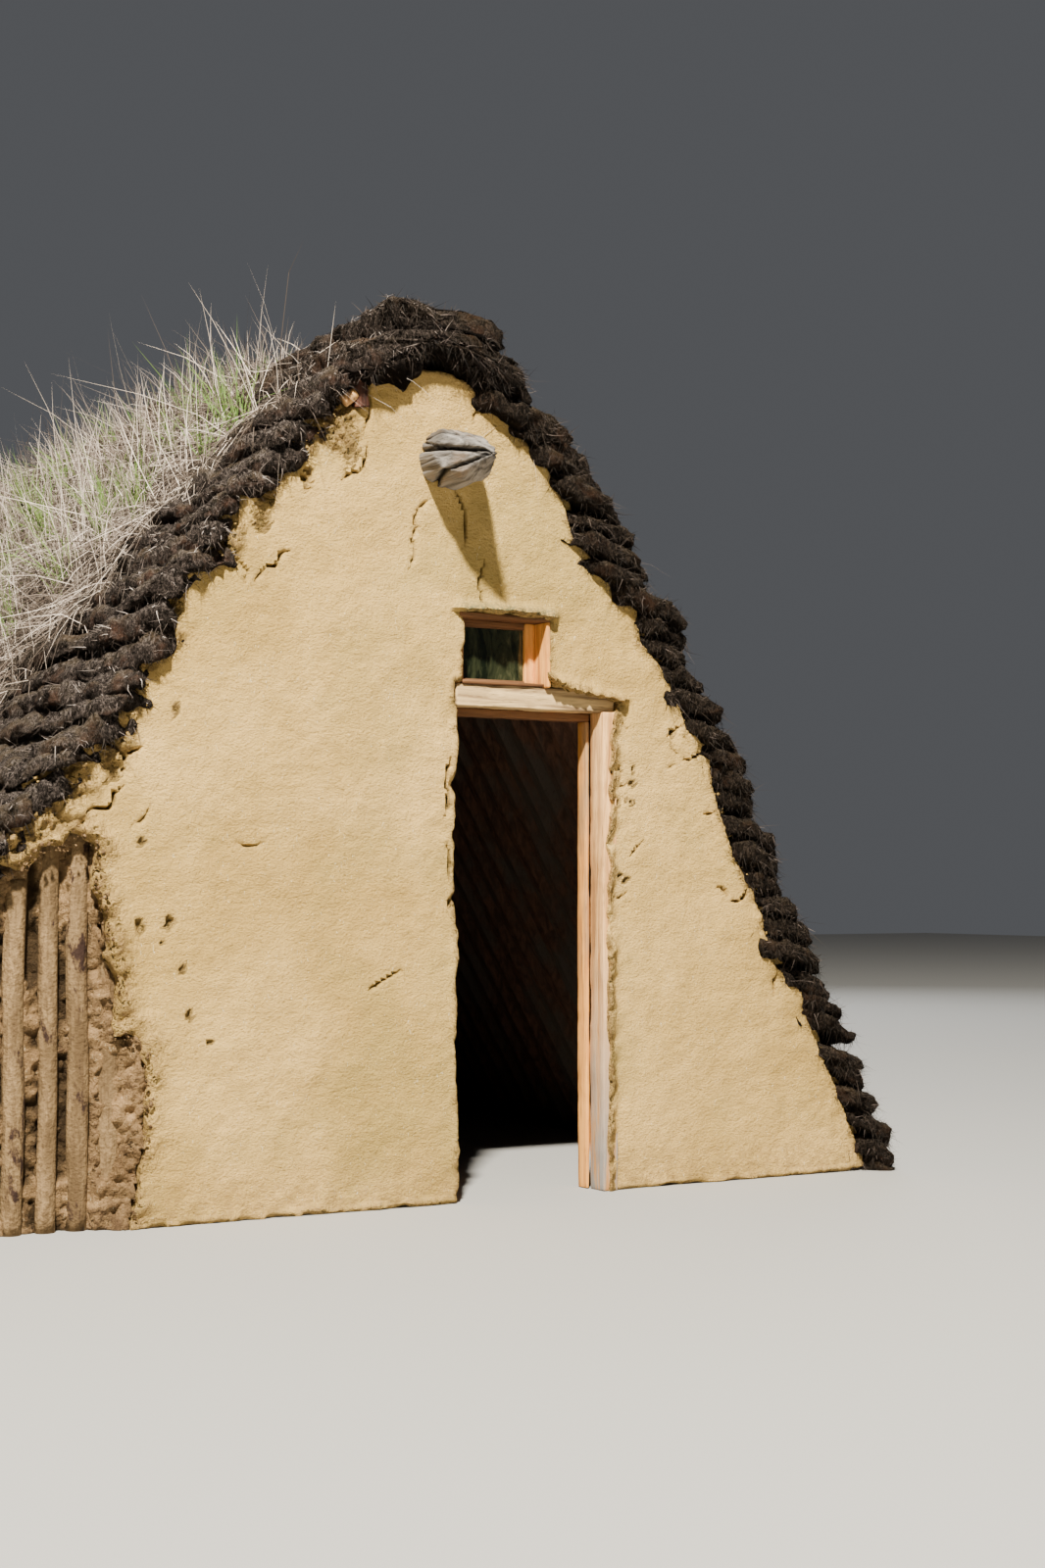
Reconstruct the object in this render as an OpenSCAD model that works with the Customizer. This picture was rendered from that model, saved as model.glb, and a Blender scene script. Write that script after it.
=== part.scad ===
// Steep turf house: turf courses over a roof of poles, with daubed pole gables, a plank-framed
// doorway, a small window on its lintel and a hewn ridge beam. Millimetres, Z up.
// The front gable faces -Y. The origin is on the ground, in the middle of the house.

/* [House] */
// Length between the outer faces of the two gable walls
house_len = 5000; // [3600:50:7000]
// Height of the gable walls, up to the cap turf
wall_h = 2820; // [2650:10:3100]
// Half-width of the gable wall on the ground, left of the middle of the door wall
half_left = 2080; // [1900:10:2300]
// Half-width of the gable wall on the ground, right of the middle of the door wall
half_right = 1860; // [1700:10:2100]
// Height above the gable wall at which its curved outline would close
outline_rise = 80; // [60:5:160]
// Bulge of the gable outline: 1 is straight, less bulges outward
outline_power = 0.75; // [0.7:0.01:0.85]

/* [Gable walls] */
// Thickness of the clay daub on a gable wall
daub_t = 60; // [40:1:90]
// Diameter of the upright poles behind the daub
pole_d = 90; // [70:1:110]
// Distance between the middles of two upright poles
pole_pitch = 98; // [92:1:130]
// Height to which the daub has fallen off at the left foot of the front wall
fallen_h = 1200; // [600:10:1300]
// Distance from the middle of the wall to the edge of the fallen daub
fallen_x = 1090; // [900:10:1500]
// How far the edge of the fallen daub breaks in and out
fallen_step = 50; // [20:5:70]

/* [Turf] */
// Height of one turf course
course_pitch = 90; // [75:1:120]
// Slope at which the courses droop outward, in degrees
course_tilt = 12; // [4:1:18]
// Width of the turf beyond the left edge of the gable wall
verge_left = 200; // [120:5:260]
// Width of the turf beyond the right edge of the gable wall
verge_right = 150; // [80:5:220]
// Extra width of the turf towards the top
verge_crown = 100; // [60:5:180]
// How far single courses stand out or in
course_stagger = 16; // [0:1:24]
// Rounding of the outer edge of a course
nose = 22; // [8:1:30]
// Radius with which a course turns the corner from the gable to the slope
corner_r = 170; // [60:5:200]
// How far the turf stands proud of the gable wall
turf_proud = 50; // [20:5:90]
// Thickness of the lower cap turf
cap_lower_t = 100; // [70:5:130]
// Thickness of the upper cap turf
cap_upper_t = 110; // [70:5:130]
// Half-width of the lower cap turf
cap_lower_half = 370; // [320:5:430]
// Half-width of the upper cap turf
cap_upper_half = 238; // [180:2:300]
// Thickness of the third cap turf, on the rear of the ridge
cap_rear_t = 70; // [50:5:110]
// Half-width of the third cap turf
cap_rear_half = 160; // [120:5:200]
// Distance from the door wall to the front end of the third cap turf
cap_rear_from = 2200; // [1500:50:3000]

/* [Roof timbers] */
// Diameter of the ridge beam
beam_d = 210; // [160:5:260]
// Distance of the ridge beam's middle below the top of the gable wall
beam_drop = 312; // [290:2:420]
// Distance of the ridge beam to the right of the middle of the wall
beam_x = 55; // [0:5:80]
// How far the ridge beam stands out of each gable wall
beam_proj = 340; // [200:10:450]
// Diameter of the rafter poles
rafter_d = 110; // [80:1:130]
// Distance between the middles of two rafter poles
rafter_pitch = 126; // [114:1:170]
// Distance of the rafters' outer side inside the gable wall's foot
foot_inset = 165; // [120:5:240]
// Depth of the seat cut where a rafter bears on the ridge beam
seat_cut = 8; // [3:1:20]
// Distance of the rafter tops below the top of the gable wall
rafter_cover = 90; // [60:5:130]
// Width of the posts that carry the ridge beam
post_w = 108; // [80:2:120]

/* [Doorway] */
// Distance of the doorway's left side from the middle of the wall
door_x = 106; // [60:2:200]
// Clear width between the door jambs
door_w = 574; // [500:2:700]
// Height of the doorway under the lintel
door_h = 1675; // [1500:5:1750]
// Thickness of the jamb planks
jamb_t = 60; // [40:1:80]
// Depth of the jamb planks, along the wall's thickness
jamb_depth = 90; // [70:1:110]
// How far the stops stand out of the jambs
stop_proud = 15; // [8:1:25]
// How far the head stop hangs below the lintel
head_stop_h = 28; // [20:1:45]
// Height of the hewn lintel
lintel_h = 77; // [70:1:120]
// Distance of the lintel's face behind the face of the daub
lintel_back = 12; // [4:1:20]

/* [Window] */
// Distance of the window's left side from the middle of the wall
window_x = 127; // [110:1:180]
// Width of the window opening
window_w = 323; // [260:1:360]
// Height of the window opening above its sill
window_h = 214; // [160:1:230]
// Thickness of the boards round the window
board_t = 16; // [12:1:24]
// Height of the sill strip on the lintel
sill_h = 13; // [8:1:20]
// Distance of the sash behind the face of the daub
sash_back = 83; // [70:1:95]
// Thickness of the sash
sash_t = 30; // [24:1:40]
// Width of the sash's stiles
stile_w = 40; // [30:1:50]
// Height of the sash's rails
rail_h = 24; // [16:1:30]
// Thickness of the glass
glass_t = 4; // [3:0.5:6]

/* [Hidden] */

turf_color = [0.25, 0.18, 0.13];
cap_color = [0.21, 0.15, 0.11];
daub_color = [0.78, 0.66, 0.44];
pole_color = [0.46, 0.34, 0.23];
beam_color = [0.55, 0.53, 0.50];
plank_color = [0.76, 0.55, 0.36];
glass_color = [0.16, 0.22, 0.16, 0.6];

// Clearance of pole tops and rafter ends from what they come close to
fit = 1;
left = -1;
right = 1;
front = -1;
back = 1;

// The walls and their layers, from the middle of the house outward
wall_t = daub_t + pole_d;
face_y = house_len / 2;
pole_face_y = face_y - daub_t;
inner_y = face_y - wall_t;
turf_face_y = face_y + turf_proud;
outline_top = wall_h + outline_rise;

// The courses of turf
course_count = round(wall_h / course_pitch);
course_h = wall_h / course_count;
droop = tan(course_tilt);
band_count = 4;
verge_split = round(course_count / 2);
scatter_left = 137;
scatter_right = 101;
crown_from = 0.68 * wall_h;
crown_to = 0.88 * wall_h;

// The tops of the two full-length cap turfs, and the turn between points of a rounded corner
cap_lower_top = wall_h + cap_lower_t;
cap_upper_top = cap_lower_top + cap_upper_t;
corner_turn = 22.5;

// The ridge beam and the rafters that bear on it
beam_z = wall_h - beam_drop;
beam_r = beam_d / 2;
rafter_top = wall_h - rafter_cover;
rafter_reach = beam_r + rafter_d - seat_cut;
rafter_span = 2 * inner_y - 2 * fit;
rafter_count = floor((rafter_span - rafter_d) / rafter_pitch) + 1;
rafter_step = (rafter_span - rafter_d) / (rafter_count - 1);

// The doorway and the window
door_right = door_x + door_w;
lintel_top = door_h + lintel_h;
sill_top = lintel_top + sill_h;
window_right = window_x + window_w;
window_top = sill_top + window_h;
head_top = window_top + board_t;
post_x = door_x - jamb_t - post_w;

// Half-width of the gable wall's smooth outline at a height, on one side
function wall_half(side, z) =
    (side < 0 ? half_left : half_right) * pow(1 - min(z, wall_h) / outline_top, outline_power);

// A steady scatter between -1 and 1 for course k
function scatter(k, turn) = k == 0 ? 0 : sin(k * turn);

// Where course k ends against the gable wall
function edge_x(side, k) = wall_half(side, (min(k, course_count - 1) + 0.5) * course_h);

// How far the turf reaches beyond the wall's edge at course k
function crown(z) = max(0, min(1, (z - crown_from) / (crown_to - crown_from)));
function verge_w(side, k) =
    (side < 0 ? verge_left : verge_right) + verge_crown * crown(k * course_h)
    + course_stagger * scatter(k, side < 0 ? scatter_left : scatter_right);
function nose_x(side, k) = edge_x(side, k) + verge_w(side, k);

// Height of the bed under course k at a distance from the middle
function bed_z(side, k, x) = k == 0 ? 0 : max(0, k * course_h - (x - edge_x(side, k)) * droop);

// The rounded outer edge of course k, from its top to its bottom, with its top raised by lap
function nose_pts(side, k, lap = 0) =
    let (x = nose_x(side, k), top = bed_z(side, k + 1, x), low = bed_z(side, k, x))
    [[x - nose, top + nose * droop + lap], [x, top - nose], [x, low + nose / 2],
     [x - nose / 2, k == 0 ? 0 : low + nose / 2 * droop]];

// Slope of the rafters and the line of their outer side, measured from the middle
function rafter_run(side) =
    (side < 0 ? half_left : half_right) - foot_inset - side * beam_x;
function rafter_angle(side) =
    atan2(beam_z, rafter_run(side))
    + asin(rafter_reach / norm([rafter_run(side), beam_z]));
function rafter_peak(side) =
    beam_z + rafter_reach / cos(rafter_angle(side)) + side * beam_x * tan(rafter_angle(side));
function rafter_x(side, z) = (rafter_peak(side) - z) / tan(rafter_angle(side));

// Where the bed under course k meets the rafters
function bed_end(side, k) =
    k == 0
    ? [rafter_x(side, 0), 0]
    : let (s = tan(rafter_angle(side)),
           x = (rafter_peak(side) - k * course_h - edge_x(side, k) * droop) / (s - droop))
      [x, rafter_peak(side) - x * s];

// Points that are given outward from the middle, set on their side of the house
function on_side(side, pts) = [for (p = pts) [side * p[0], p[1]]];

// The stepped edge of the gable wall on one side, from the ground up
function step_pts(side, k0, k1) =
    [for (k = [k0:k1 - 1]) each [[edge_x(side, k), k * course_h],
                                 [edge_x(side, k), (k + 1) * course_h]]];

function reversed(pts) = [for (i = [len(pts) - 1:-1:0]) pts[i]];

function gable_pts() =
    concat(on_side(left, step_pts(left, 0, course_count)),
           reversed(on_side(right, step_pts(right, 0, course_count))));

// The smooth outline that the pole tops are cut to, just inside the steps
function pole_outline_pts() =
    let (rows = [for (k = [0:course_count - 1]) k])
    concat(
        [for (k = rows) [-edge_x(left, k) + fit, k * course_h]],
        [[-edge_x(left, course_count - 1) + fit, wall_h - fit],
         [edge_x(right, course_count - 1) - fit, wall_h - fit]],
        [for (k = reversed(rows)) [edge_x(right, k) - fit, k * course_h]]);

// Turf from course k0 up to course k1 that lies on the rafters of one side
function slope_pts(side, k0, k1) =
    concat(
        [bed_end(side, k0)],
        k1 < course_count
        ? [bed_end(side, k1)]
        : [[rafter_x(side, rafter_top), rafter_top], [side * beam_x, rafter_top],
           [side * beam_x, wall_h], [edge_x(side, k1), wall_h]],
        [for (k = [k1 - 1:-1:k0]) each nose_pts(side, k)]);

// One course of turf that laps the edge of a gable wall, raised by lap into the course above
function bed_start(side, k) =
    let (x = edge_x(side, k - 1)) [x, k < course_count ? bed_z(side, k, x) : wall_h];
function course_pts(side, k, lap) =
    concat(
        k > 0 ? [bed_start(side, k), [edge_x(side, k - 1), k * course_h]] : [],
        [[edge_x(side, k), k * course_h], bed_start(side, k + 1) + [0, lap]],
        nose_pts(side, k, lap));

// Height of a cap turf's bed at a place across the ridge, level over the wall and drooping past it
function cap_z(base, x) =
    base - max(0, abs(x) - edge_x(x < 0 ? left : right, course_count)) * droop;

// The places from left to right where the outline of a cap turf bends, out to half on each side
function cap_bends(half) =
    [-half,
     for (x = [-edge_x(left, course_count), edge_x(right, course_count)]) if (abs(x) < half) x,
     half];
function cap_pts(base, t, half) =
    concat(
        [for (x = cap_bends(half)) [x, cap_z(base, x)]],
        [[half, cap_z(base, half) + t - nose]],
        [for (x = reversed(cap_bends(half - nose))) [x, cap_z(base, x) + t]],
        [[-half, cap_z(base, -half) + t - nose]]);

// The origin is in the middle of the footprint, and the door wall's middle is beside it
shift_x = (nose_x(left, 0) - nose_x(right, 0)) / 2;
module place() {
    translate([shift_x, 0, 0]) children();
}

// A drawing in X and Z, thickened from y0 to y1
module slab(y0, y1) {
    translate([0, y1, 0])
        rotate([90, 0, 0])
            linear_extrude(height = y1 - y0)
                children();
}

// A drawing thickened between two distances from the middle, at the front or the back
module end_slab(end, near, far) {
    if (end == front)
        slab(-far, -near) children();
    else
        slab(near, far) children();
}

// A quarter turn round x, y from the angle start, for a corner that is rounded in plan
function turn_pts(x, y, r, start) =
    [for (a = [0:corner_turn:90]) [x + r * cos(start + a), y + r * sin(start + a)]];

// One course of turf from a gable wall's edge round the corner to the slope
module verge_course(side, end, k, lap) {
    x = nose_x(side, k);
    r = min(corner_r, turf_face_y - inner_y);
    intersection() {
        end_slab(end, inner_y, turf_face_y)
            polygon(on_side(side, course_pts(side, k, lap)));
        scale([side, end, 1])
            linear_extrude(height = outline_top)
                polygon(concat([[0, inner_y], [x, inner_y]],
                               turn_pts(x - r, turf_face_y - r, r, 0), [[0, turf_face_y]]));
    }
}

module slope_turf(side, band) {
    k0 = round(band * course_count / band_count);
    k1 = round((band + 1) * course_count / band_count);
    color(turf_color)
        place()
            slab(-inner_y, inner_y)
                polygon(on_side(side, slope_pts(side, k0, k1)));
}

module verge_turf(side, end, k0, k1) {
    color(turf_color)
        place()
            for (k = [k0:k1 - 1])
                verge_course(side, end, k, k < k1 - 1 ? fit : 0);
}

// A cap turf from y0 to y1 along the ridge, with its corners rounded in plan
module cap_turf(base, t, half, y0, y1) {
    r = min(corner_r, half - nose);
    x = half - r;
    color(cap_color)
        place()
            intersection() {
                slab(y0, y1)
                    polygon(cap_pts(base, t, half));
                linear_extrude(height = base + t + fit)
                    polygon(concat(turn_pts(x, y1 - r, r, 0), turn_pts(-x, y1 - r, r, 90),
                                   turn_pts(-x, y0 + r, r, 180), turn_pts(x, y0 + r, r, 270)));
            }
}

module ridge_turf_lower() {
    cap_turf(wall_h, cap_lower_t, cap_lower_half, -turf_face_y, turf_face_y);
}

module ridge_turf_upper() {
    cap_turf(cap_lower_top, cap_upper_t, cap_upper_half, -turf_face_y, turf_face_y);
}

module ridge_turf_rear() {
    cap_turf(cap_upper_top, cap_rear_t, cap_rear_half, cap_rear_from - face_y, turf_face_y);
}

// The hewn ridge beam, whose ends are chopped to a blunt prow
tip_side = 8;
tip_rise = -32;
tip_cut = 14;
chop_under = 70;
chop_over = 68;
chop_right = 74;
chop_left = 67;

module beam_log() {
    slab(-face_y - beam_proj, face_y + beam_proj)
        translate([beam_x, beam_z]) circle(r = beam_r, $fn = 10);
}

module chop(tilt, turn) {
    size = 3 * beam_d;
    translate([beam_x + tip_side, -face_y - beam_proj - tip_cut, beam_z + tip_rise])
        rotate([tilt, 0, turn])
            translate([-size, -2 * size, -size])
                cube(2 * size);
}

module prow_cuts() {
    chop(chop_under, 0);
    chop(-chop_over, 0);
    chop(0, chop_right);
    chop(0, -chop_left);
}

module ridge_beam() {
    color(beam_color)
        place()
            difference() {
                beam_log();
                prow_cuts();
                mirror([0, 1, 0]) prow_cuts();
            }
}

module ridge_post(end) {
    color(pole_color)
        place()
            difference() {
                end_slab(end, inner_y, pole_face_y)
                    translate([post_x, 0]) square([post_w, beam_z]);
                beam_log();
            }
}

// An eight-sided pole with flats to its sides, standing on the ground
module pole(d, len) {
    cylinder(h = len, r = d / 2 / cos(22.5), $fn = 8);
}

// One rafter pole, cut level at its foot and top and plumb at the ridge
module rafter(side) {
    a = rafter_angle(side);
    run = rafter_run(side) + side * beam_x - rafter_d / 2 / sin(a);
    long = 2 * outline_top;
    difference() {
        translate([side * run, 0, 0])
            rotate([0, side * (a - 90), 0])
                translate([0, 0, -long / 4])
                    rotate([0, 0, 22.5])
                        pole(rafter_d, long);
        translate([-long, -rafter_d, -long]) cube([2 * long, 2 * rafter_d, long]);
        translate([-long, -rafter_d, rafter_top]) cube([2 * long, 2 * rafter_d, long]);
        translate([side < 0 ? beam_x : beam_x - long, -rafter_d, 0])
            cube([long, 2 * rafter_d, long]);
        beam_log();
    }
}

module rafters(side, i0, i1) {
    color(pole_color)
        place()
            for (i = [i0:i1])
                translate([0, -inner_y + fit + rafter_d / 2 + i * rafter_step, 0])
                    rafter(side);
}

// Upright poles from x0 outward to x1, standing on z0, cut to the gable outline
module upright_poles(end, x0, x1, z0) {
    span = abs(x1 - x0) - pole_d;
    count = floor(span / pole_pitch) + 1;
    dir = x1 < x0 ? -1 : 1;
    color(pole_color)
        place()
            difference() {
                intersection() {
                    for (i = [0:count - 1])
                        translate([x0 + dir * (pole_d / 2 + fit + i * pole_pitch),
                                   end * (inner_y + pole_d / 2), z0])
                            rotate([0, 0, 22.5])
                                pole(pole_d, outline_top);
                    end_slab(end, inner_y - pole_d, pole_face_y + pole_d)
                        polygon(pole_outline_pts());
                }
                beam_log();
            }
}

// The part of the gable wall's outline between two places and two heights
module gable_part(x0, x1, z0, z1) {
    intersection() {
        polygon(gable_pts());
        translate([x0, z0]) square([x1 - x0, z1 - z0]);
    }
}

// The ragged edge where the daub has fallen off the foot of the wall
function fallen_pts() =
    let (edge = -fallen_x, s = fallen_step)
    [[edge + s, -fit], [edge, 0.22 * fallen_h], [edge + 2.5 * s, 0.46 * fallen_h],
     [edge, 0.58 * fallen_h], [edge - 0.4 * s, 0.68 * fallen_h], [edge + 0.4 * s, 0.8 * fallen_h],
     [edge - 1.3 * s, 0.93 * fallen_h], [edge - 2.8 * s, fallen_h],
     [edge - 5 * s, 0.94 * fallen_h], [-half_left - fit, 0.9 * fallen_h],
     [-half_left - fit, -fit]];

module front_daub(x0, x1, z0, z1) {
    color(daub_color)
        place()
            end_slab(front, pole_face_y, face_y)
                gable_part(x0, x1, z0, z1);
}

module front_daub_left() {
    color(daub_color)
        place()
            end_slab(front, pole_face_y, face_y)
                difference() {
                    union() {
                        gable_part(-half_left, door_x, 0, lintel_top);
                        gable_part(-half_left, window_x - board_t, lintel_top, head_top);
                    }
                    polygon(fallen_pts());
                }
}

module front_daub_top() {
    color(daub_color)
        place()
            difference() {
                end_slab(front, pole_face_y, face_y)
                    gable_part(-half_left, half_right, head_top, wall_h);
                beam_log();
            }
}

module back_daub() {
    color(daub_color)
        place()
            difference() {
                end_slab(back, pole_face_y, face_y)
                    polygon(gable_pts());
                beam_log();
            }
}

// A sawn plank in the front wall: its place across and up, and its depth behind the face
module plank(x, z, w, h, depth0, depth1) {
    color(plank_color)
        place()
            translate([x, -face_y + depth0, z])
                cube([w, depth1 - depth0, h]);
}

// The lintel bears on both jambs, with its left end lapped behind the daub
module door_lintel() {
    plan = [[door_x, lintel_back], [door_right + jamb_t, lintel_back],
            [door_right + jamb_t, wall_t], [door_x - jamb_t, wall_t],
            [door_x - jamb_t, daub_t], [door_x, daub_t]];
    color(plank_color)
        place()
            translate([0, -face_y, door_h])
                linear_extrude(height = lintel_h)
                    polygon(plan);
}

module door_left_jamb() {
    plank(door_x - jamb_t, 0, jamb_t, door_h, daub_t, wall_t);
}

module door_right_jamb() {
    plank(door_right, 0, jamb_t, door_h, 0, jamb_depth);
}

module door_head_stop() {
    plank(door_x, door_h - head_stop_h, door_w, head_stop_h, jamb_depth, wall_t);
}

module door_side_stops() {
    plank(door_x, 0, stop_proud, door_h - head_stop_h, jamb_depth, wall_t);
    plank(door_right - stop_proud, 0, stop_proud, door_h - head_stop_h, jamb_depth, wall_t);
}

module window_head() {
    plank(window_x - board_t, window_top, window_w + 2 * board_t, board_t, 0, wall_t);
}

module window_side_boards() {
    plank(window_x - board_t, lintel_top, board_t, sill_h + window_h, 0, wall_t);
    plank(window_right, lintel_top, board_t, sill_h + window_h, 0, wall_t);
}

module window_sill() {
    plank(window_x, lintel_top, window_w, sill_h, lintel_back, wall_t);
}

module window_sash() {
    color(plank_color)
        place()
            translate([window_x, -face_y + sash_back, sill_top])
                difference() {
                    cube([window_w, sash_t, window_h]);
                    translate([stile_w, -fit, rail_h / 2])
                        cube([window_w - 2 * stile_w, sash_t + 2 * fit,
                              window_h - 1.5 * rail_h]);
                }
}

module window_pane() {
    color(glass_color)
        place()
            translate([window_x + stile_w, -face_y + sash_back + (sash_t - glass_t) / 2,
                       sill_top + rail_h / 2])
                cube([window_w - 2 * stile_w, glass_t, window_h - 1.5 * rail_h]);
}

slope_turf(left, 0);  // left_slope_turf_1
slope_turf(left, 1);  // left_slope_turf_2
slope_turf(left, 2);  // left_slope_turf_3
slope_turf(left, 3);  // left_slope_turf_4
slope_turf(right, 0);  // right_slope_turf_1
slope_turf(right, 1);  // right_slope_turf_2
slope_turf(right, 2);  // right_slope_turf_3
slope_turf(right, 3);  // right_slope_turf_4
verge_turf(left, front, 0, verge_split);  // front_left_verge_lower
verge_turf(left, front, verge_split, course_count);  // front_left_verge_upper
verge_turf(right, front, 0, verge_split);  // front_right_verge_lower
verge_turf(right, front, verge_split, course_count);  // front_right_verge_upper
verge_turf(left, back, 0, verge_split);  // back_left_verge_lower
verge_turf(left, back, verge_split, course_count);  // back_left_verge_upper
verge_turf(right, back, 0, verge_split);  // back_right_verge_lower
verge_turf(right, back, verge_split, course_count);  // back_right_verge_upper
ridge_turf_lower();
ridge_turf_upper();
ridge_turf_rear();
ridge_beam();
ridge_post(front);  // front_ridge_post
ridge_post(back);  // back_ridge_post
rafters(left, 0, floor(rafter_count / 2) - 1);  // left_rafters_front
rafters(left, floor(rafter_count / 2), rafter_count - 1);  // left_rafters_rear
rafters(right, 0, floor(rafter_count / 2) - 1);  // right_rafters_front
rafters(right, floor(rafter_count / 2), rafter_count - 1);  // right_rafters_rear
upright_poles(front, post_x, -half_left + pole_d, 0);  // front_poles_left
upright_poles(front, door_right + jamb_t, half_right - pole_d, 0);  // front_poles_right
upright_poles(front, post_x + post_w, door_right + jamb_t, head_top);  // front_poles_over_door
union() {  // back_poles
    upright_poles(back, post_x, -half_left + pole_d, 0);
    upright_poles(back, post_x + post_w, half_right - pole_d, 0);
}
front_daub_left();
front_daub(door_right + jamb_t, half_right, 0, lintel_top);  // front_daub_right
front_daub(window_right + board_t, half_right, lintel_top, head_top);  // front_daub_beside_window
front_daub_top();
back_daub();
door_lintel();
door_left_jamb();
door_right_jamb();
door_head_stop();
door_side_stops();
window_head();
window_side_boards();
window_sill();
window_sash();
window_pane();
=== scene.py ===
# %% [markdown]
# # A turf house, dressed for its portrait
#
# The house is a steep roof of poles under courses of turf. Its front gable is a wall of upright
# poles, smeared with tan clay daub, with a plank doorway, a small window on the hewn lintel and
# the end of the ridge beam. This notebook loads the solid model of that house as a fixed frame
# and gives every surface its finish: crumbling daub, matted turf, dry grass and weathered wood.

# %% Load the frame
import math

import bmesh
import bpy
import numpy as np
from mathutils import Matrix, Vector


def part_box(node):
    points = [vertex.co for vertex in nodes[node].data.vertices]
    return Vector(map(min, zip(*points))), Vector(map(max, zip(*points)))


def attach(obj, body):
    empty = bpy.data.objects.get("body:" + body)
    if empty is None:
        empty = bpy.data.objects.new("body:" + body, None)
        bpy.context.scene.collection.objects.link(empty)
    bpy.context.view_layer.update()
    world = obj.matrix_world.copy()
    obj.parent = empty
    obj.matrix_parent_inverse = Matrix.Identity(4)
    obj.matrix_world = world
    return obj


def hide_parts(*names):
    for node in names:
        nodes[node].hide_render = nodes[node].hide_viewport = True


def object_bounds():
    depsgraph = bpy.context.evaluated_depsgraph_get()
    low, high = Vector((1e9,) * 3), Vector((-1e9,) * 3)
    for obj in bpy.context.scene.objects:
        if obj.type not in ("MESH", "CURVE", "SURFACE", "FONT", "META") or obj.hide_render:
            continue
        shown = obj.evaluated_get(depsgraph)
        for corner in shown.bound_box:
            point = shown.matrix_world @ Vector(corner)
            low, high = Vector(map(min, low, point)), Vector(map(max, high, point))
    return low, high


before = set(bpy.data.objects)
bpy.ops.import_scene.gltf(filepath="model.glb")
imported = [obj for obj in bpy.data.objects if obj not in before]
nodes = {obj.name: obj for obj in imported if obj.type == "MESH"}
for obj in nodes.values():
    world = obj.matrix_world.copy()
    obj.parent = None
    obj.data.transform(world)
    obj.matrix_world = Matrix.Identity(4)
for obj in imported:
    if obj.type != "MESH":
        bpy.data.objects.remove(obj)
cad_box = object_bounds()
print("nodes in the frame:", len(nodes), "box:", [tuple(round(c, 3) for c in p) for p in cad_box])

# %% [markdown]
# The doorway gives the measures of the front wall. Everything that is placed on the wall, and the
# camera too, is measured from three planes: the middle of the wall, its face and the threshold.

# %% Planes to measure from
daub_low, daub_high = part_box("front_daub_left")
WALL_FACE = daub_low.y
DOOR_FROM_MIDDLE = 0.680
WALL_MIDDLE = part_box("door_right_jamb")[0].x - DOOR_FROM_MIDDLE
print("wall face at y", round(WALL_FACE, 3), "middle of the wall at x", round(WALL_MIDDLE, 3))

# %% [markdown]
# ## The camera
#
# A camera is a lens and a place to stand. A 50 mm lens on a 36 mm long side sees the house as the
# photograph does. It stands to the left of the door, turned 30 degrees to the wall, with the
# horizon a little below the middle of the frame, so the camera tips up slightly.

# %% Camera
LENS_MM, FILM_MM = 50.0, 36.0
FRAME_H = 1600
HORIZON_ROW = 905.0
TURN = math.radians(30.0)
EYE = Vector((-3.385, -6.475, 1.06))


def put(name, data):
    thing = bpy.data.objects.new(name, data)
    bpy.context.scene.collection.objects.link(thing)
    return thing


def make_camera():
    data = bpy.data.cameras.new("camera")
    data.lens, data.sensor_width, data.sensor_fit = LENS_MM, FILM_MM, "AUTO"
    data.clip_start, data.clip_end = 0.05, 200.0
    camera = put("camera", data)
    camera.location = Vector((WALL_MIDDLE, WALL_FACE, 0.0)) + EYE
    focal_px = LENS_MM / FILM_MM * FRAME_H
    tip = math.atan((HORIZON_ROW - FRAME_H / 2) / focal_px)
    camera.rotation_euler = (math.radians(90.0) + tip, 0.0, -TURN)
    bpy.context.scene.camera = camera
    return camera


print("camera at", tuple(round(c, 3) for c in make_camera().location))

# %% [markdown]
# ## Floor and light
#
# The set is a plain pale floor. One lamp, about a metre across, stands where the sun stood, high
# on the left in front of the house, so the courses and the beam throw clear shadows to the right.
# A wider, weaker lamp behind the house and an even surround keep its rear and right side readable.

# %% Floor and lights
FLOOR_SIZE = 60.0
FLOOR_COLOR = (0.33, 0.325, 0.31, 1.0)
SKY_COLOR, SKY_STRENGTH = (0.90, 0.93, 1.0, 1.0), 0.10
LAMPS_AIM = Vector((0.0, -1.2, 1.2))


def make_floor():
    mesh = bpy.data.meshes.new("floor")
    bm = bmesh.new()
    bmesh.ops.create_grid(bm, x_segments=1, y_segments=1, size=FLOOR_SIZE / 2)
    bm.to_mesh(mesh)
    bm.free()
    paint = bpy.data.materials.new("pale_floor")
    paint.use_nodes = True
    shader = paint.node_tree.nodes["Principled BSDF"]
    shader.inputs["Base Color"].default_value = FLOOR_COLOR
    shader.inputs["Roughness"].default_value = 0.9
    mesh.materials.append(paint)
    put("floor", mesh)


def make_surround():
    world = bpy.data.worlds.new("surround")
    world.use_nodes = True
    back = world.node_tree.nodes["Background"]
    back.inputs["Color"].default_value = SKY_COLOR
    back.inputs["Strength"].default_value = SKY_STRENGTH
    bpy.context.scene.world = world


def make_lamp(name, place, size, power, color):
    data = bpy.data.lights.new(name, "AREA")
    data.shape, data.size, data.energy, data.color = "DISK", size, power, color
    lamp = put(name, data)
    lamp.location = place
    lamp.rotation_euler = (LAMPS_AIM - lamp.location).to_track_quat("-Z", "Y").to_euler()
    print("lamp", name, "of", power, "watts")


make_floor()
make_surround()
make_lamp("key", Vector((-5.2, -10.6, 12.8)), 0.9, 11500.0, (1.0, 0.94, 0.82))
make_lamp("fill", Vector((8.0, 8.5, 7.0)), 7.0, 950.0, (0.93, 0.96, 1.0))

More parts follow.
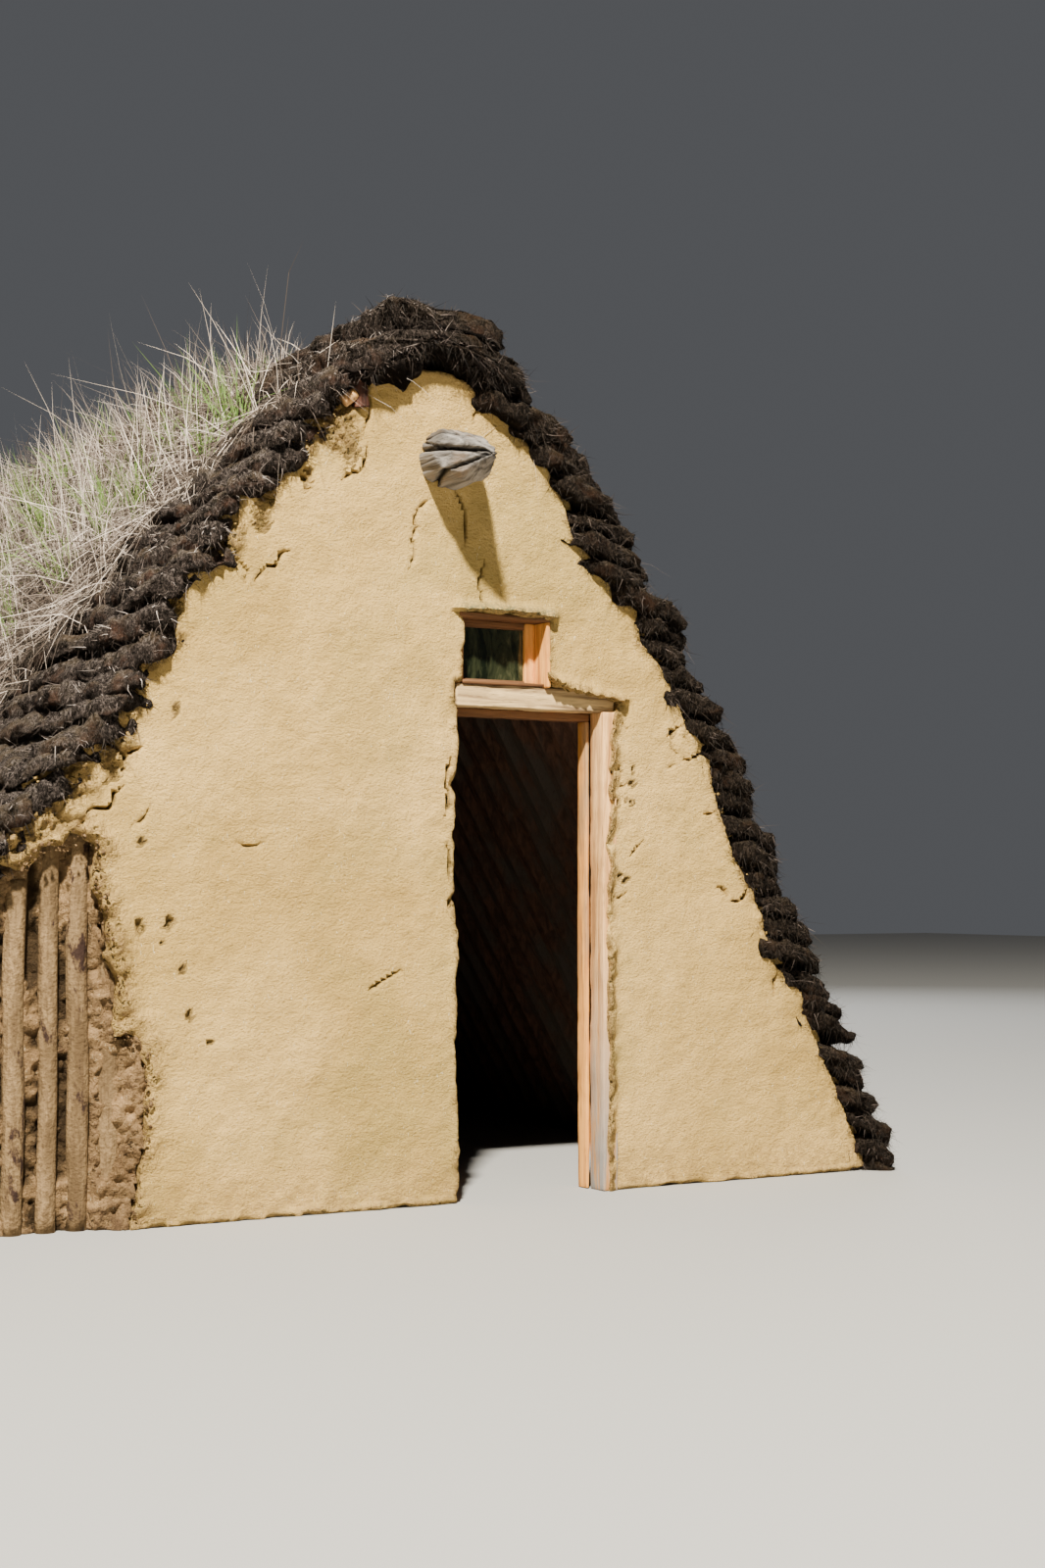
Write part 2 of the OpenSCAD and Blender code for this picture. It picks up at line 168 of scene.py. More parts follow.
# %% [markdown]
# ## Small tools
#
# Nothing on this house is straight or smooth, so most pieces are shaped twice: once by an operator
# that makes a clean form, and once by smooth noise that moves its points. The noise here is the
# plain kind: a random number at every corner of a grid, eased from one corner to the next.

# %% Smooth noise
CORNER_MIX = np.array([73856093, 19349663, 83492791])
SEED_MIX, LAST_MIX = 40503, 1274126177


def lattice(points, seed):
    cell = np.floor(points).astype(np.int64)
    part = points - cell
    ease = part * part * (3.0 - 2.0 * part)
    total = np.zeros(len(points))
    for corner in range(8):
        step = np.array([corner & 1, corner >> 1 & 1, corner >> 2 & 1])
        mixed = ((cell + step) * CORNER_MIX).sum(axis=1)
        mixed = ((mixed + seed * SEED_MIX) ^ (mixed >> 13)) * LAST_MIX
        mixed = (mixed ^ (mixed >> 16)) & 0xFFFF
        total += np.where(step == 1, ease, 1.0 - ease).prod(axis=1) * (mixed / 32767.5 - 1.0)
    return total


def rough(points, size, octaves=3, seed=1):
    total, strength = np.zeros(len(points)), 1.0
    for k in range(octaves):
        total += strength * lattice(points / size * 2.0**k, seed + 17 * k)
        strength *= 0.5
    return total


print("noise at two points:", np.round(rough(np.array([[0.1, 0, 0], [2, 1, 0]]), 0.3), 2))

# %% [markdown]
# A finished piece is one mesh that rides on the house's only body. The solids of the frame that
# it stands for are hidden.

# %% Points, numbers and pieces
def points_of(mesh):
    flat = np.empty(len(mesh.vertices) * 3)
    mesh.vertices.foreach_get("co", flat)
    return flat.reshape(-1, 3)


def move_points(mesh, points):
    mesh.vertices.foreach_set("co", points.ravel())
    mesh.update()


def mark(mesh, **layers):
    for name, values in layers.items():
        layer = mesh.attributes.new(name, "FLOAT", "POINT")
        values = np.broadcast_to(values, len(mesh.vertices))
        layer.data.foreach_set("value", values.astype(np.float32))


def bmesh_of(mesh):
    bm = bmesh.new()
    bm.from_mesh(mesh)
    return bm


def as_mesh(bm, name, fix_normals=True):
    if fix_normals:
        bmesh.ops.recalc_face_normals(bm, faces=bm.faces)
    mesh = bpy.data.meshes.new(name)
    bm.to_mesh(mesh)
    bm.free()
    return mesh


def keep_piece(mesh, name, paint, hidden=(), smooth=True):
    mesh.materials.append(paint)
    mesh.polygons.foreach_set("use_smooth", [smooth] * len(mesh.polygons))
    piece = put(name, mesh)
    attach(piece, "root")
    if hidden:
        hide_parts(*hidden)
    triangles = sum(len(face.vertices) - 2 for face in mesh.polygons)
    print(name, "has", triangles, "triangles")
    return piece


def unit(values):
    return np.clip(values, 0.0, 1.0)


# %% [markdown]
# ## Finishes
#
# Each finish starts from one shader. Noise on the object's own coordinates gives its stains and
# grain, stretched along the wood where it follows the wood, and the same noise gives the bump.

# %% Tools for the finishes
class Finish:
    def __init__(self, name, roughness, specular=0.25):
        self.paint = bpy.data.materials.new(name)
        self.paint.use_nodes = True
        self.tree = self.paint.node_tree
        self.shader = self.tree.nodes["Principled BSDF"]
        self.shader.inputs["Roughness"].default_value = roughness
        self.shader.inputs["Specular IOR Level"].default_value = specular
        self.color = None

    def node(self, kind, answer, inputs, **settings):
        made = self.tree.nodes.new("ShaderNode" + kind)
        for name, value in settings.items():
            setattr(made, name, value)
        for socket, value in inputs.items():
            if isinstance(value, bpy.types.NodeSocket):
                self.tree.links.new(value, made.inputs[socket])
            else:
                made.inputs[socket].default_value = value
        return made.outputs[answer]

    def grain(self, scale, stretch=(1.0, 1.0, 1.0), detail=5.0, roughness=0.6, warp=0.0):
        place = self.node("TexCoord", "Object", {})
        place = self.node("Mapping", "Vector", {"Vector": place, "Scale": stretch})
        return self.node("TexNoise", "Fac", {"Vector": place, "Scale": scale, "Detail": detail,
                                             "Roughness": roughness, "Distortion": warp})

    def measure(self, axis):
        return self.node("SeparateXYZ", axis, {"Vector": self.node("TexCoord", "Object", {})})

    def marked(self, name):
        return self.node("Attribute", "Fac", {}, attribute_name=name)

    def tones(self, amount, *stops):
        ramp = self.tree.nodes.new("ShaderNodeValToRGB")
        while len(ramp.color_ramp.elements) < len(stops):
            ramp.color_ramp.elements.new(0.5)
        for element, (place, color) in zip(ramp.color_ramp.elements, stops):
            element.position, element.color = place, (*color, 1.0)
        self.tree.links.new(amount, ramp.inputs["Fac"])
        return ramp.outputs["Color"]

    def step(self, amount, low, high):
        return self.node("MapRange", "Result", {"Value": amount, "From Min": low, "From Max": high})

    def times(self, first, second):
        return self.node("Math", "Value", {0: first, 1: second}, operation="MULTIPLY")

    def lay(self, amount, color, kind="MIX"):
        over = color if isinstance(color, bpy.types.NodeSocket) else (*color, 1.0)
        self.color = self.node("Mix", "Result", {"Factor": amount, "A": self.color, "B": over},
                               data_type="RGBA", blend_type=kind)

    def stain(self, field, low, high, color, share=None):
        amount = self.step(field, low, high)
        self.lay(amount if share is None else self.times(amount, share), color)

    def close(self, *heights):
        self.tree.links.new(self.color, self.shader.inputs["Base Color"])
        under = {}
        for height, strength, distance in heights:
            under = {"Normal": self.node("Bump", "Normal", {
                "Height": height, "Strength": strength, "Distance": distance, **under})}
        for socket, normal in under.items():
            self.tree.links.new(normal, self.shader.inputs[socket])
        return self.paint


def shade(color, *shares):
    return tuple(c * share for c, share in zip(color, shares * 3))


# %% [markdown]
# The clay was wiped on by hand. Its colour runs from pale straw to ochre in soft clouds, fine
# level streaks follow the hand, and where the coat has broken it is browner and full of crumbs.
# The low hollows among those crumbs, and the cracks and pits, are painted near black: painted
# shade.

# %% Clay daub
def clay_paint(name, pale, deep, broken):
    finish = Finish(name, 0.94, 0.12)
    clouds = finish.grain(2.2, detail=3.0)
    smears = finish.grain(30.0, (0.65, 1.0, 1.5), 4.0, 0.58)
    sand = finish.grain(92.0, (1.0, 1.0, 1.25), 3.0, 0.60)
    damp_and_painted_shade = finish.grain(1.4, detail=4.0)
    speckle = finish.grain(210.0, detail=3.0, roughness=0.75)
    crumbs = finish.grain(44.0, detail=4.0, roughness=0.64, warp=0.5)
    straws = finish.grain(95.0, (1.0, 1.0, 0.4), 1.0, warp=3.0)
    worn = finish.marked("broken")
    splashed = finish.times(finish.step(finish.measure("Z"), 0.20, 0.0), 0.7)
    finish.color = finish.tones(clouds, (0.36, deep), (0.62, pale))
    finish.stain(damp_and_painted_shade, 0.50, 0.64, shade(deep, 0.78, 0.86, 0.88), 0.60)
    finish.stain(smears, 0.54, 0.70, shade(deep, 0.72), 0.30)
    finish.stain(sand, 0.54, 0.70, shade(deep, 0.60), 0.40)
    finish.stain(crumbs, 0.40, 0.58, broken, splashed)
    finish.stain(speckle, 0.60, 0.70, shade(deep, 0.38), 0.70)
    finish.stain(straws, 0.70, 0.74, (0.80, 0.70, 0.46), 0.6)
    finish.stain(sand, 0.36, 0.56, (0.115, 0.115, 0.062), finish.marked("mossy"))
    finish.stain(crumbs, 0.40, 0.60, broken, worn)
    # Low hollows among the crumbs of broken clay are painted near black: painted shade.
    finish.stain(crumbs, 0.44, 0.38, shade(deep, 0.12), worn)
    # Points marked for painted shade, in cracks, pits and hollows, are painted near black.
    finish.lay(finish.marked("split"), shade(deep, 0.10))
    return finish.close((clouds, 0.4, 0.03), (smears, 0.8, 0.0070), (sand, 1.0, 0.0072),
                        (speckle, 0.9, 0.005), (finish.times(worn, crumbs), 1.0, 0.042))


clay = clay_paint("clay_daub", (0.65, 0.430, 0.148), (0.47, 0.305, 0.092), (0.34, 0.215, 0.080))
raw_clay = clay_paint("raw_clay", (0.38, 0.238, 0.110), (0.20, 0.120, 0.053),
                      (0.110, 0.064, 0.032))
print("finishes:", clay.name, raw_clay.name)

# %% [markdown]
# Turf is mostly roots: dark brown, matted, with redder and greyer fibres. Old moss lies on some
# upper sides, and on the slopes a mat of dead grass covers the sods. The undersides of the sods
# and the creases between courses are painted near black, and the turf on the right slope is
# painted darker: painted shade.

# %% Turf
def turf_paint():
    finish = Finish("turf", 0.97, 0.08)
    patches = finish.grain(9.0, detail=6.0, roughness=0.65)
    fibres = finish.grain(75.0, (1.0, 1.0, 0.5), 8.0, 0.78, 1.6)
    strands = finish.grain(210.0, (1.0, 1.0, 0.3), 3.0, 0.7, 3.5)
    upper = finish.marked("moss")
    finish.color = finish.tones(fibres, (0.43, (0.004, 0.003, 0.002)),
                                (0.52, (0.031, 0.023, 0.019)), (0.61, (0.120, 0.094, 0.081)),
                                (0.71, (0.33, 0.280, 0.250)))
    finish.stain(patches, 0.52, 0.66, (0.105, 0.052, 0.032), 0.55)
    finish.stain(strands, 0.60, 0.72, (0.30, 0.245, 0.20), 0.6)
    finish.stain(fibres, 0.47, 0.62, (0.25, 0.208, 0.185), finish.times(upper, 0.6))
    finish.stain(patches, 0.46, 0.58, (0.120, 0.098, 0.055), finish.times(upper, 0.3))
    # The turf on the right slope is painted darker: painted shade.
    damp_and_painted_shade = finish.step(finish.measure("X"), WALL_MIDDLE - 0.45, WALL_MIDDLE + 0.15)
    finish.lay(damp_and_painted_shade, (0.46, 0.43, 0.37), "MULTIPLY")
    thatch = finish.tones(fibres, (0.40, (0.012, 0.009, 0.006)), (0.53, (0.075, 0.058, 0.043)),
                          (0.67, (0.27, 0.23, 0.18)))
    finish.lay(finish.marked("straw"), thatch)
    # Undersides of the sods and the creases between courses are painted near black: painted shade.
    finish.lay(finish.marked("split"), (0.006, 0.004, 0.003))
    return finish.close((patches, 0.4, 0.03), (fibres, 1.0, 0.030), (strands, 0.9, 0.008))


turf = turf_paint()
print("finish:", turf.name)

# %% [markdown]
# Blades and roots are painted by a number that each one carries, so that no two neighbours match.

# %% Roots and grass
def blade_paint(name, *stops):
    finish = Finish(name, 0.75, 0.2)
    finish.color = finish.tones(finish.marked("tone"), *stops)
    return finish.close()


root_paint = blade_paint("turf_roots", (0.0, (0.004, 0.003, 0.002)), (0.35, (0.030, 0.021, 0.015)),
                         (0.65, (0.124, 0.096, 0.083)), (1.0, (0.51, 0.440, 0.395)))
grass_paint = blade_paint("dry_grass", (0.0, (0.016, 0.011, 0.008)), (0.38, (0.17, 0.128, 0.100)),
                          (0.80, (0.78, 0.660, 0.555)), (0.86, (0.17, 0.25, 0.055)),
                          (1.0, (0.08, 0.155, 0.03)))
print("finishes:", root_paint.name, grass_paint.name)

# %% [markdown]
# The wood is of three kinds. Poles keep part of their dark bark over pale wood, and the rafters
# in the dark room are painted nearly black, a painted shade. The beam has stood in the weather
# and is grey, with its cracks painted near black, a painted shade. The planks are sawn, orange
# where they are sheltered and grey where the sun and rain reach; the boards laid across are a much
# darker copy of the orange ones, a painted shade. Each plank finish is made for the way its grain
# runs.

# %% Wood
def wood_paint(name, along, pale, deep, grey, grey_from, grey_to, patch=5.0, patch_stretch=0.53,
               foot=0.0):
    finish = Finish(name, 0.8, 0.2)
    stretch, patchy = [1.0, 1.0, 1.0], [1.0, 1.0, 1.0]
    stretch[along], patchy[along] = 0.06, patch_stretch
    rings = finish.grain(42.0, stretch, 4.0, 0.55, 0.8)
    fine = finish.grain(230.0, stretch, 3.0)
    stains = finish.grain(patch, patchy, 5.0, 0.62)
    finish.color = finish.tones(rings, (0.34, deep), (0.62, pale))
    finish.stain(stains, grey_from, grey_to, grey)
    if foot:
        low = finish.step(finish.measure("Z"), foot, 0.1)
        finish.stain(rings, 0.36, 0.52, (0.26, 0.235, 0.21), low)
    finish.stain(fine, 0.58, 0.70, shade(deep, 0.45), 0.6)
    # Where the painted-shade layer is set the wood is painted near black: painted shade in the
    # beam's cracks, dark bark at the upper left of its ends.
    finish.lay(finish.marked("split"), shade(deep, 0.10))
    return finish.close((stains, 0.4, 0.006), (rings, 0.8, 0.006), (fine, 0.8, 0.002))


ACROSS, INWARD, UP = range(3)
bark = wood_paint("bark_pole", UP, (0.42, 0.27, 0.15), (0.22, 0.12, 0.06),
                  (0.10, 0.065, 0.045), 0.42, 0.60)
# The rafters are painted nearly black: painted shade for the dark room.
rafter_bark_in_painted_shade = wood_paint("rafter_bark_in_painted_shade", UP, (0.085, 0.040, 0.023), (0.036, 0.018, 0.011),
                         (0.055, 0.042, 0.032), 0.48, 0.62)
stub_bark = wood_paint("stub_bark", UP, (0.085, 0.032, 0.019), (0.018, 0.008, 0.006),
                       (0.20, 0.090, 0.050), 0.56, 0.64, 16.0, 0.6)
beam_grey = wood_paint("weathered_log", INWARD, (0.235, 0.214, 0.192), (0.046, 0.040, 0.035),
                       (0.17, 0.115, 0.072), 0.52, 0.68, 9.0, 0.3)
lintel_grey = wood_paint("greyed_plank", ACROSS, (0.64, 0.44, 0.200), (0.17, 0.105, 0.052),
                         (0.48, 0.215, 0.065), 0.55, 0.62, 9.0, 0.25)
jamb_wood = wood_paint("jamb_plank", UP, (0.84, 0.48, 0.190), (0.42, 0.205, 0.070),
                       (0.34, 0.27, 0.185), 0.58, 0.70, 9.0, 0.2, 0.95)
orange_up = wood_paint("orange_plank", UP, (0.84, 0.385, 0.090), (0.44, 0.165, 0.036),
                       (0.38, 0.22, 0.10), 0.52, 0.68, 8.0, 0.2)
# The boards laid across are a much darker copy of the orange planks: painted shade.
orange_across_in_painted_shade = wood_paint("orange_board_in_painted_shade", ACROSS, (0.175, 0.080, 0.032), (0.075, 0.032, 0.013),
                           (0.10, 0.062, 0.035), 0.52, 0.68, 8.0, 0.2)
print("woods: bark, rafter bark, stubs, beam, lintel, jambs, orange planks")

# %% [markdown]
# The bare poles were daubed once. Tan clay still coats them thinly, rubbed through to dark bark.
# The coat is painted much darker than the daub on the wall: painted shade.

# %% Clay-coated poles
def coated_paint(name):
    finish = Finish(name, 0.92, 0.12)
    clouds = finish.grain(6.0, (1.0, 1.0, 0.35), 5.0, 0.65)
    streaks = finish.grain(60.0, (1.0, 1.0, 0.12), 4.0, warp=0.8)
    rubbed = finish.grain(15.0, (1.0, 1.0, 0.40), 6.0, 0.68, 0.3)
    sand = finish.grain(80.0, detail=3.0)
    # These tones are far darker than the daub's: painted shade.
    finish.color = finish.tones(clouds, (0.40, (0.105, 0.066, 0.031)), (0.60, (0.26, 0.170, 0.082)))
    finish.stain(streaks, 0.50, 0.62, (0.095, 0.058, 0.028), 0.6)
    finish.stain(sand, 0.50, 0.64, (0.090, 0.055, 0.026), 0.6)
    finish.stain(rubbed, 0.56, 0.62, (0.034, 0.019, 0.014))
    return finish.close((clouds, 0.6, 0.03), (streaks, 0.5, 0.006), (sand, 1.0, 0.0065))


coated_in_painted_shade = coated_paint("coated_pole_in_painted_shade")
print("finish:", coated_in_painted_shade.name)

# %% [markdown]
# ## The clay on the door wall
#
# The coat is one skin of clay with a stepped, broken edge, and the doorway and the window are open
# at its lower side. It is given here as outlines on the wall: metres right of the wall's middle
# and up from the threshold. Near the left foot the clay has fallen and shows the poles.

# %% Outlines of the front clay
LEFT_EDGE = [(-1.50, 1.13), (-1.465, 1.193), (-1.43, 1.235), (-1.376, 1.268), (-1.33, 1.314),
             (-1.346, 1.373), (-1.223, 1.402), (-1.187, 1.522), (-1.105, 1.592), (-1.035, 1.61),
             (-1.027, 1.749), (-0.908, 1.833), (-0.902, 1.88), (-0.893, 2.036), (-0.771, 2.123),
             (-0.701, 2.192), (-0.702, 2.309), (-0.548, 2.381), (-0.534, 2.427), (-0.451, 2.455),
             (-0.438, 2.566), (-0.39, 2.60), (-0.338, 2.608), (-0.300, 2.645), (-0.262, 2.655),
             (-0.250, 2.72), (-0.236, 2.785)]
TOP_EDGE = [(-0.20, 2.80), (0.0, 2.81), (0.08, 2.80)]
RIGHT_EDGE = [(0.11, 2.786), (0.171, 2.743), (0.264, 2.753), (0.271, 2.703), (0.306, 2.666),
              (0.357, 2.613), (0.46, 2.51), (0.52, 2.412), (0.555, 2.294), (0.718, 2.144),
              (0.726, 2.067), (0.825, 2.06), (0.841, 1.931), (0.962, 1.815), (1.0, 1.71),
              (1.033, 1.623), (1.127, 1.574), (1.144, 1.432), (1.238, 1.185), (1.333, 1.024),
              (1.42, 0.773), (1.531, 0.681), (1.60, 0.5), (1.70, 0.3), (1.85, 0.0)]
OPENINGS = [(0.702, 0.0), (0.696, 0.30), (0.702, 0.52), (0.693, 0.70), (0.700, 0.80),
            (0.691, 0.86), (0.702, 0.91), (0.691, 0.97), (0.707, 1.02), (0.693, 1.06),
            (0.709, 1.12), (0.695, 1.18), (0.692, 1.24), (0.701, 1.31), (0.718, 1.35),
            (0.702, 1.39), (0.721, 1.44), (0.705, 1.48), (0.717, 1.53), (0.708, 1.57),
            (0.724, 1.62), (0.730, 1.676), (0.757, 1.712), (0.716, 1.716), (0.70, 1.731),
            (0.675, 1.722), (0.655, 1.736), (0.635, 1.727), (0.613, 1.745), (0.59, 1.735),
            (0.565, 1.747), (0.54, 1.739), (0.52, 1.755), (0.49, 1.746), (0.462, 1.765),
            (0.453, 1.80), (0.457, 1.985), (0.30, 1.994), (0.126, 1.992), (0.133, 1.90),
            (0.127, 1.82), (0.133, 1.764), (0.098, 1.758), (0.092, 1.70), (0.104, 1.66),
            (0.101, 1.45), (0.086, 1.41), (0.103, 1.37), (0.098, 1.30), (0.080, 1.25),
            (0.099, 1.21), (0.102, 1.06), (0.088, 1.02), (0.106, 0.9), (0.100, 0.4), (0.106, 0.0)]
FALLEN = [(-1.04, 0.0), (-0.99, 0.28), (-0.985, 0.45), (-1.0, 0.515), (-0.99, 0.566),
          (-1.027, 0.598), (-1.085, 0.592), (-1.083, 0.66), (-1.094, 0.72), (-1.098, 0.80),
          (-1.118, 0.894), (-1.135, 0.96), (-1.142, 1.015), (-1.164, 1.075), (-1.158, 1.168),
          (-1.206, 1.223), (-1.237, 1.222), (-1.252, 1.199), (-1.277, 1.176), (-1.307, 1.188),
          (-1.338, 1.172), (-1.352, 1.145), (-1.404, 1.108)]
UNDER_TURF, CROWN = 0.045, 2.805


def under_turf(edge, side):
    return [(s + side * UNDER_TURF, min(z + 0.02, CROWN) if s < 1.8 else z) for s, z in edge]


front_outline = np.array(FALLEN + LEFT_EDGE + TOP_EDGE + RIGHT_EDGE + OPENINGS)
laid_outline = np.array(FALLEN + under_turf(LEFT_EDGE, -1) + TOP_EDGE + under_turf(RIGHT_EDGE, 1)
                        + OPENINGS)
print("the front clay has", len(front_outline), "corners")

# %% [markdown]
# To lay a grid of clay inside such an outline, each point needs to know how far it is from the
# edge. The same measure later rounds the edge, crumbles it and bends the grid to the cracks.

# %% Distance to an outline
def nearest_on(points, corners, closed):
    gap, nearest = np.full(len(points), 1e9), np.zeros_like(points)
    ends = np.roll(corners, -1, axis=0) if closed else corners[1:]
    for a, b in zip(corners, ends):
        along = b - a
        part = unit(((points - a) @ along) / (along @ along))
        foot = a + part[:, None] * along
        reach = np.linalg.norm(points - foot, axis=1)
        closer = reach < gap
        gap[closer], nearest[closer] = reach[closer], foot[closer]
    return gap, nearest


def inside(points, corners):
    within = np.zeros(len(points), bool)
    for a, b in zip(corners, np.roll(corners, -1, axis=0)):
        crosses = (a[1] > points[:, 1]) != (b[1] > points[:, 1])
        at = a[0] + (points[:, 1] - a[1]) * (b[0] - a[0]) / (b[1] - a[1] + 1e-12)
        within ^= crosses & (points[:, 0] < at)
    return within


def depth_inside(points, corners):
    gap, nearest = nearest_on(points, corners, True)
    return np.where(inside(points, corners), gap, -gap), nearest


# %% [markdown]
# The sheet is a plain grid. Squares beyond the outline are cut away, the points along the cut are
# drawn onto the outline, and the squares next to it are relaxed so that none is pinched.

# %% A sheet of clay cut to an outline
def cut_sheet(outline, cell):
    low, high = outline.min(axis=0) - cell, outline.max(axis=0) + cell
    counts = np.ceil((high - low) / cell).astype(int)
    bm = bmesh.new()
    bmesh.ops.create_grid(bm, x_segments=int(counts[0]), y_segments=int(counts[1]), size=1.0)
    flat = np.array([v.co[:2] for v in bm.verts])
    least = flat.min(axis=0)
    flat = low + (flat - least) / (flat.max(axis=0) - least) * (high - low)
    deep, nearest = depth_inside(flat, outline)
    for v, place in zip(bm.verts, flat):
        v.co = (place[0], place[1], 0.0)
    bm.verts.ensure_lookup_table()
    kept = deep >= -0.45 * cell
    close = [(bm.verts[i], nearest[i]) for i in np.flatnonzero(kept & (np.abs(deep) < 2.0 * cell))]
    beyond = [bm.verts[i] for i in np.flatnonzero(~kept)]
    bmesh.ops.delete(bm, geom=beyond, context="VERTS")
    loose = [v for v, spot in close if not v.link_faces]
    bmesh.ops.delete(bm, geom=loose, context="VERTS")
    close = [(v, spot) for v, spot in close if v.is_valid]
    for v, spot in close:
        if v.is_boundary:
            v.co.x, v.co.y = spot
    near = [v for v, spot in close if not v.is_boundary]
    for turn in range(3):
        bmesh.ops.smooth_vert(bm, verts=near, factor=0.5, use_axis_x=True, use_axis_y=True)
    return bm


def clay_shell(bm, thick):
    rim = [e for e in bm.edges if e.is_boundary]
    made = bmesh.ops.extrude_edge_only(bm, edges=rim)["geom"]
    for v in (g for g in made if isinstance(g, bmesh.types.BMVert)):
        v.co.y = thick
    back = [e for e in made if isinstance(e, bmesh.types.BMEdge) and e.is_boundary]
    bmesh.ops.triangle_fill(bm, edges=back, use_beauty=False, use_dissolve=False)


# %% [markdown]
# The cracks are lines on the wall, each with half its width. The pits are points, each with its
# radius and its depth. They stand where the picture shows them.

# %% Cracks and pits of the door wall
CRACKS = [
    ([(-0.232, 2.71), (-0.234, 2.624), (-0.252, 2.573)], 0.003),
    ([(-0.241, 2.521), (-0.252, 2.451), (-0.266, 2.44), (-0.309, 2.423), (-0.33, 2.405)], 0.0045),
    ([(0.0, 2.37), (-0.05, 2.331), (-0.058, 2.287), (-0.05, 2.268), (-0.065, 2.231),
      (-0.061, 2.168), (-0.076, 2.13)], 0.0022),
    ([(0.095, 2.41), (0.13, 2.347), (0.137, 2.29), (0.13, 2.22)], 0.003),
    ([(0.21, 2.182), (0.191, 2.123), (0.187, 2.086), (0.206, 2.01)], 0.0025),
    ([(-0.53, 2.15), (-0.55, 2.143), (-0.567, 2.101), (-0.598, 2.098), (-0.629, 2.064),
      (-0.642, 2.051)], 0.004),
    ([(-0.724, 2.13), (-0.673, 2.08), (-0.676, 2.04)], 0.0025),
    ([(0.179, 2.727), (0.164, 2.647)], 0.0025),
    ([(-1.14, 1.542), (-1.118, 1.531), (-1.111, 1.50), (-1.079, 1.471), (-1.072, 1.453),
      (-1.057, 1.478), (-1.034, 1.485), (-1.015, 1.501)], 0.004),
    ([(-1.072, 1.377), (-1.103, 1.351), (-1.103, 1.327), (-1.122, 1.302), (-1.163, 1.305),
      (-1.188, 1.295)], 0.006),
    ([(-0.985, 1.32), (-1.01, 1.27), (-1.045, 1.255)], 0.002),
    ([(-0.698, 1.201), (-0.654, 1.188), (-0.61, 1.201)], 0.0022),
    ([(-0.112, 0.787), (-0.166, 0.759), (-0.238, 0.719)], 0.003),
    ([(1.012, 1.637), (0.961, 1.614), (0.948, 1.596)], 0.004),
    ([(0.963, 1.578), (0.966, 1.561), (0.99, 1.537)], 0.003),
    ([(1.02, 1.519), (1.045, 1.516), (1.08, 1.533), (1.11, 1.545)], 0.005),
    ([(0.944, 1.483), (0.961, 1.487), (0.978, 1.498)], 0.002),
    ([(1.02, 1.602), (1.037, 1.581)], 0.003),
    ([(0.073, 1.50), (0.062, 1.43), (0.071, 1.38), (0.058, 1.30)], 0.004),
    ([(0.066, 1.20), (0.078, 1.13), (0.070, 1.08)], 0.004),
    ([(1.113, 1.321), (1.139, 1.322), (1.165, 1.333)], 0.004),
    ([(1.172, 1.06), (1.198, 1.053), (1.212, 1.03)], 0.004),
    ([(1.228, 1.012), (1.254, 1.01), (1.285, 1.017), (1.303, 1.06)], 0.006),
    ([(1.424, 0.762), (1.419, 0.66)], 0.0025),
    ([(0.793, 1.167), (0.822, 1.195), (0.843, 1.22)], 0.006),
    ([(0.763, 1.640), (0.766, 1.628), (0.775, 1.618)], 0.006),
    ([(0.745, 1.484), (0.753, 1.465), (0.756, 1.450)], 0.004),
    ([(0.757, 1.418), (0.775, 1.421)], 0.005),
    ([(0.741, 1.021), (0.758, 1.024), (0.775, 1.035)], 0.004),
]
PITS = [(-0.468, 2.398, 0.020, 0.022), (-0.906, 1.615, 0.013, 0.010),
        (-1.013, 1.197, 0.012, 0.012), (-0.92, 0.946, 0.016, 0.014), (-1.017, 0.941, 0.014, 0.016),
        (-0.946, 0.889, 0.010, 0.010), (-0.79, 0.569, 0.010, 0.012), (-0.853, 0.657, 0.012, 0.012),
        (-0.88, 0.80, 0.011, 0.010), (0.809, 1.478, 0.010, 0.012), (0.805, 1.426, 0.010, 0.012),
        (0.740, 1.357, 0.009, 0.014), (0.776, 1.361, 0.008, 0.012), (0.800, 1.363, 0.008, 0.010),
        (0.775, 1.086, 0.010, 0.012), (0.752, 1.100, 0.008, 0.012), (-1.078, 1.425, 0.008, 0.016),
        (0.066, 1.34, 0.013, 0.016), (0.075, 1.01, 0.013, 0.018), (0.966, 1.603, 0.009, 0.012),
        (-0.30, 2.50, 0.03, 0.010), (-0.37, 2.55, 0.03, 0.014), (-0.62, 2.25, 0.03, 0.010),
        (-1.12, 1.42, 0.03, 0.010)]
print("cracks:", len(CRACKS), "pits:", len(PITS))

# %% [markdown]
# The skin of clay is not flat. Slow waves swell it, its edge is rounded and crumbles, and it laps
# over the window and the door in lips. Points close to a crack are drawn onto its line and pushed
# in, and their neighbours close up to its lips. Holes and broken pits are simple bowls. The line
# of a crack, the bottom of a pit and the hollows between crumbled clods are marked for painted
# shade.

# %% Cracks, lips and crumbled clay
CRUMBLED = [(-1.34, 1.26, 0.11), (-1.24, 1.36, 0.08), (-1.45, 1.18, 0.10), (-1.12, 1.50, 0.07),
            (-0.36, 2.58, 0.08), (-0.74, 2.15, 0.05), (-0.98, 1.79, 0.04), (-0.60, 2.33, 0.04)]
FULL_CRACK = 0.004


def bell(distance, wide):
    return np.exp(-(distance / wide)**2)


def on_wall(flat):
    return np.column_stack((flat, np.zeros(len(flat))))


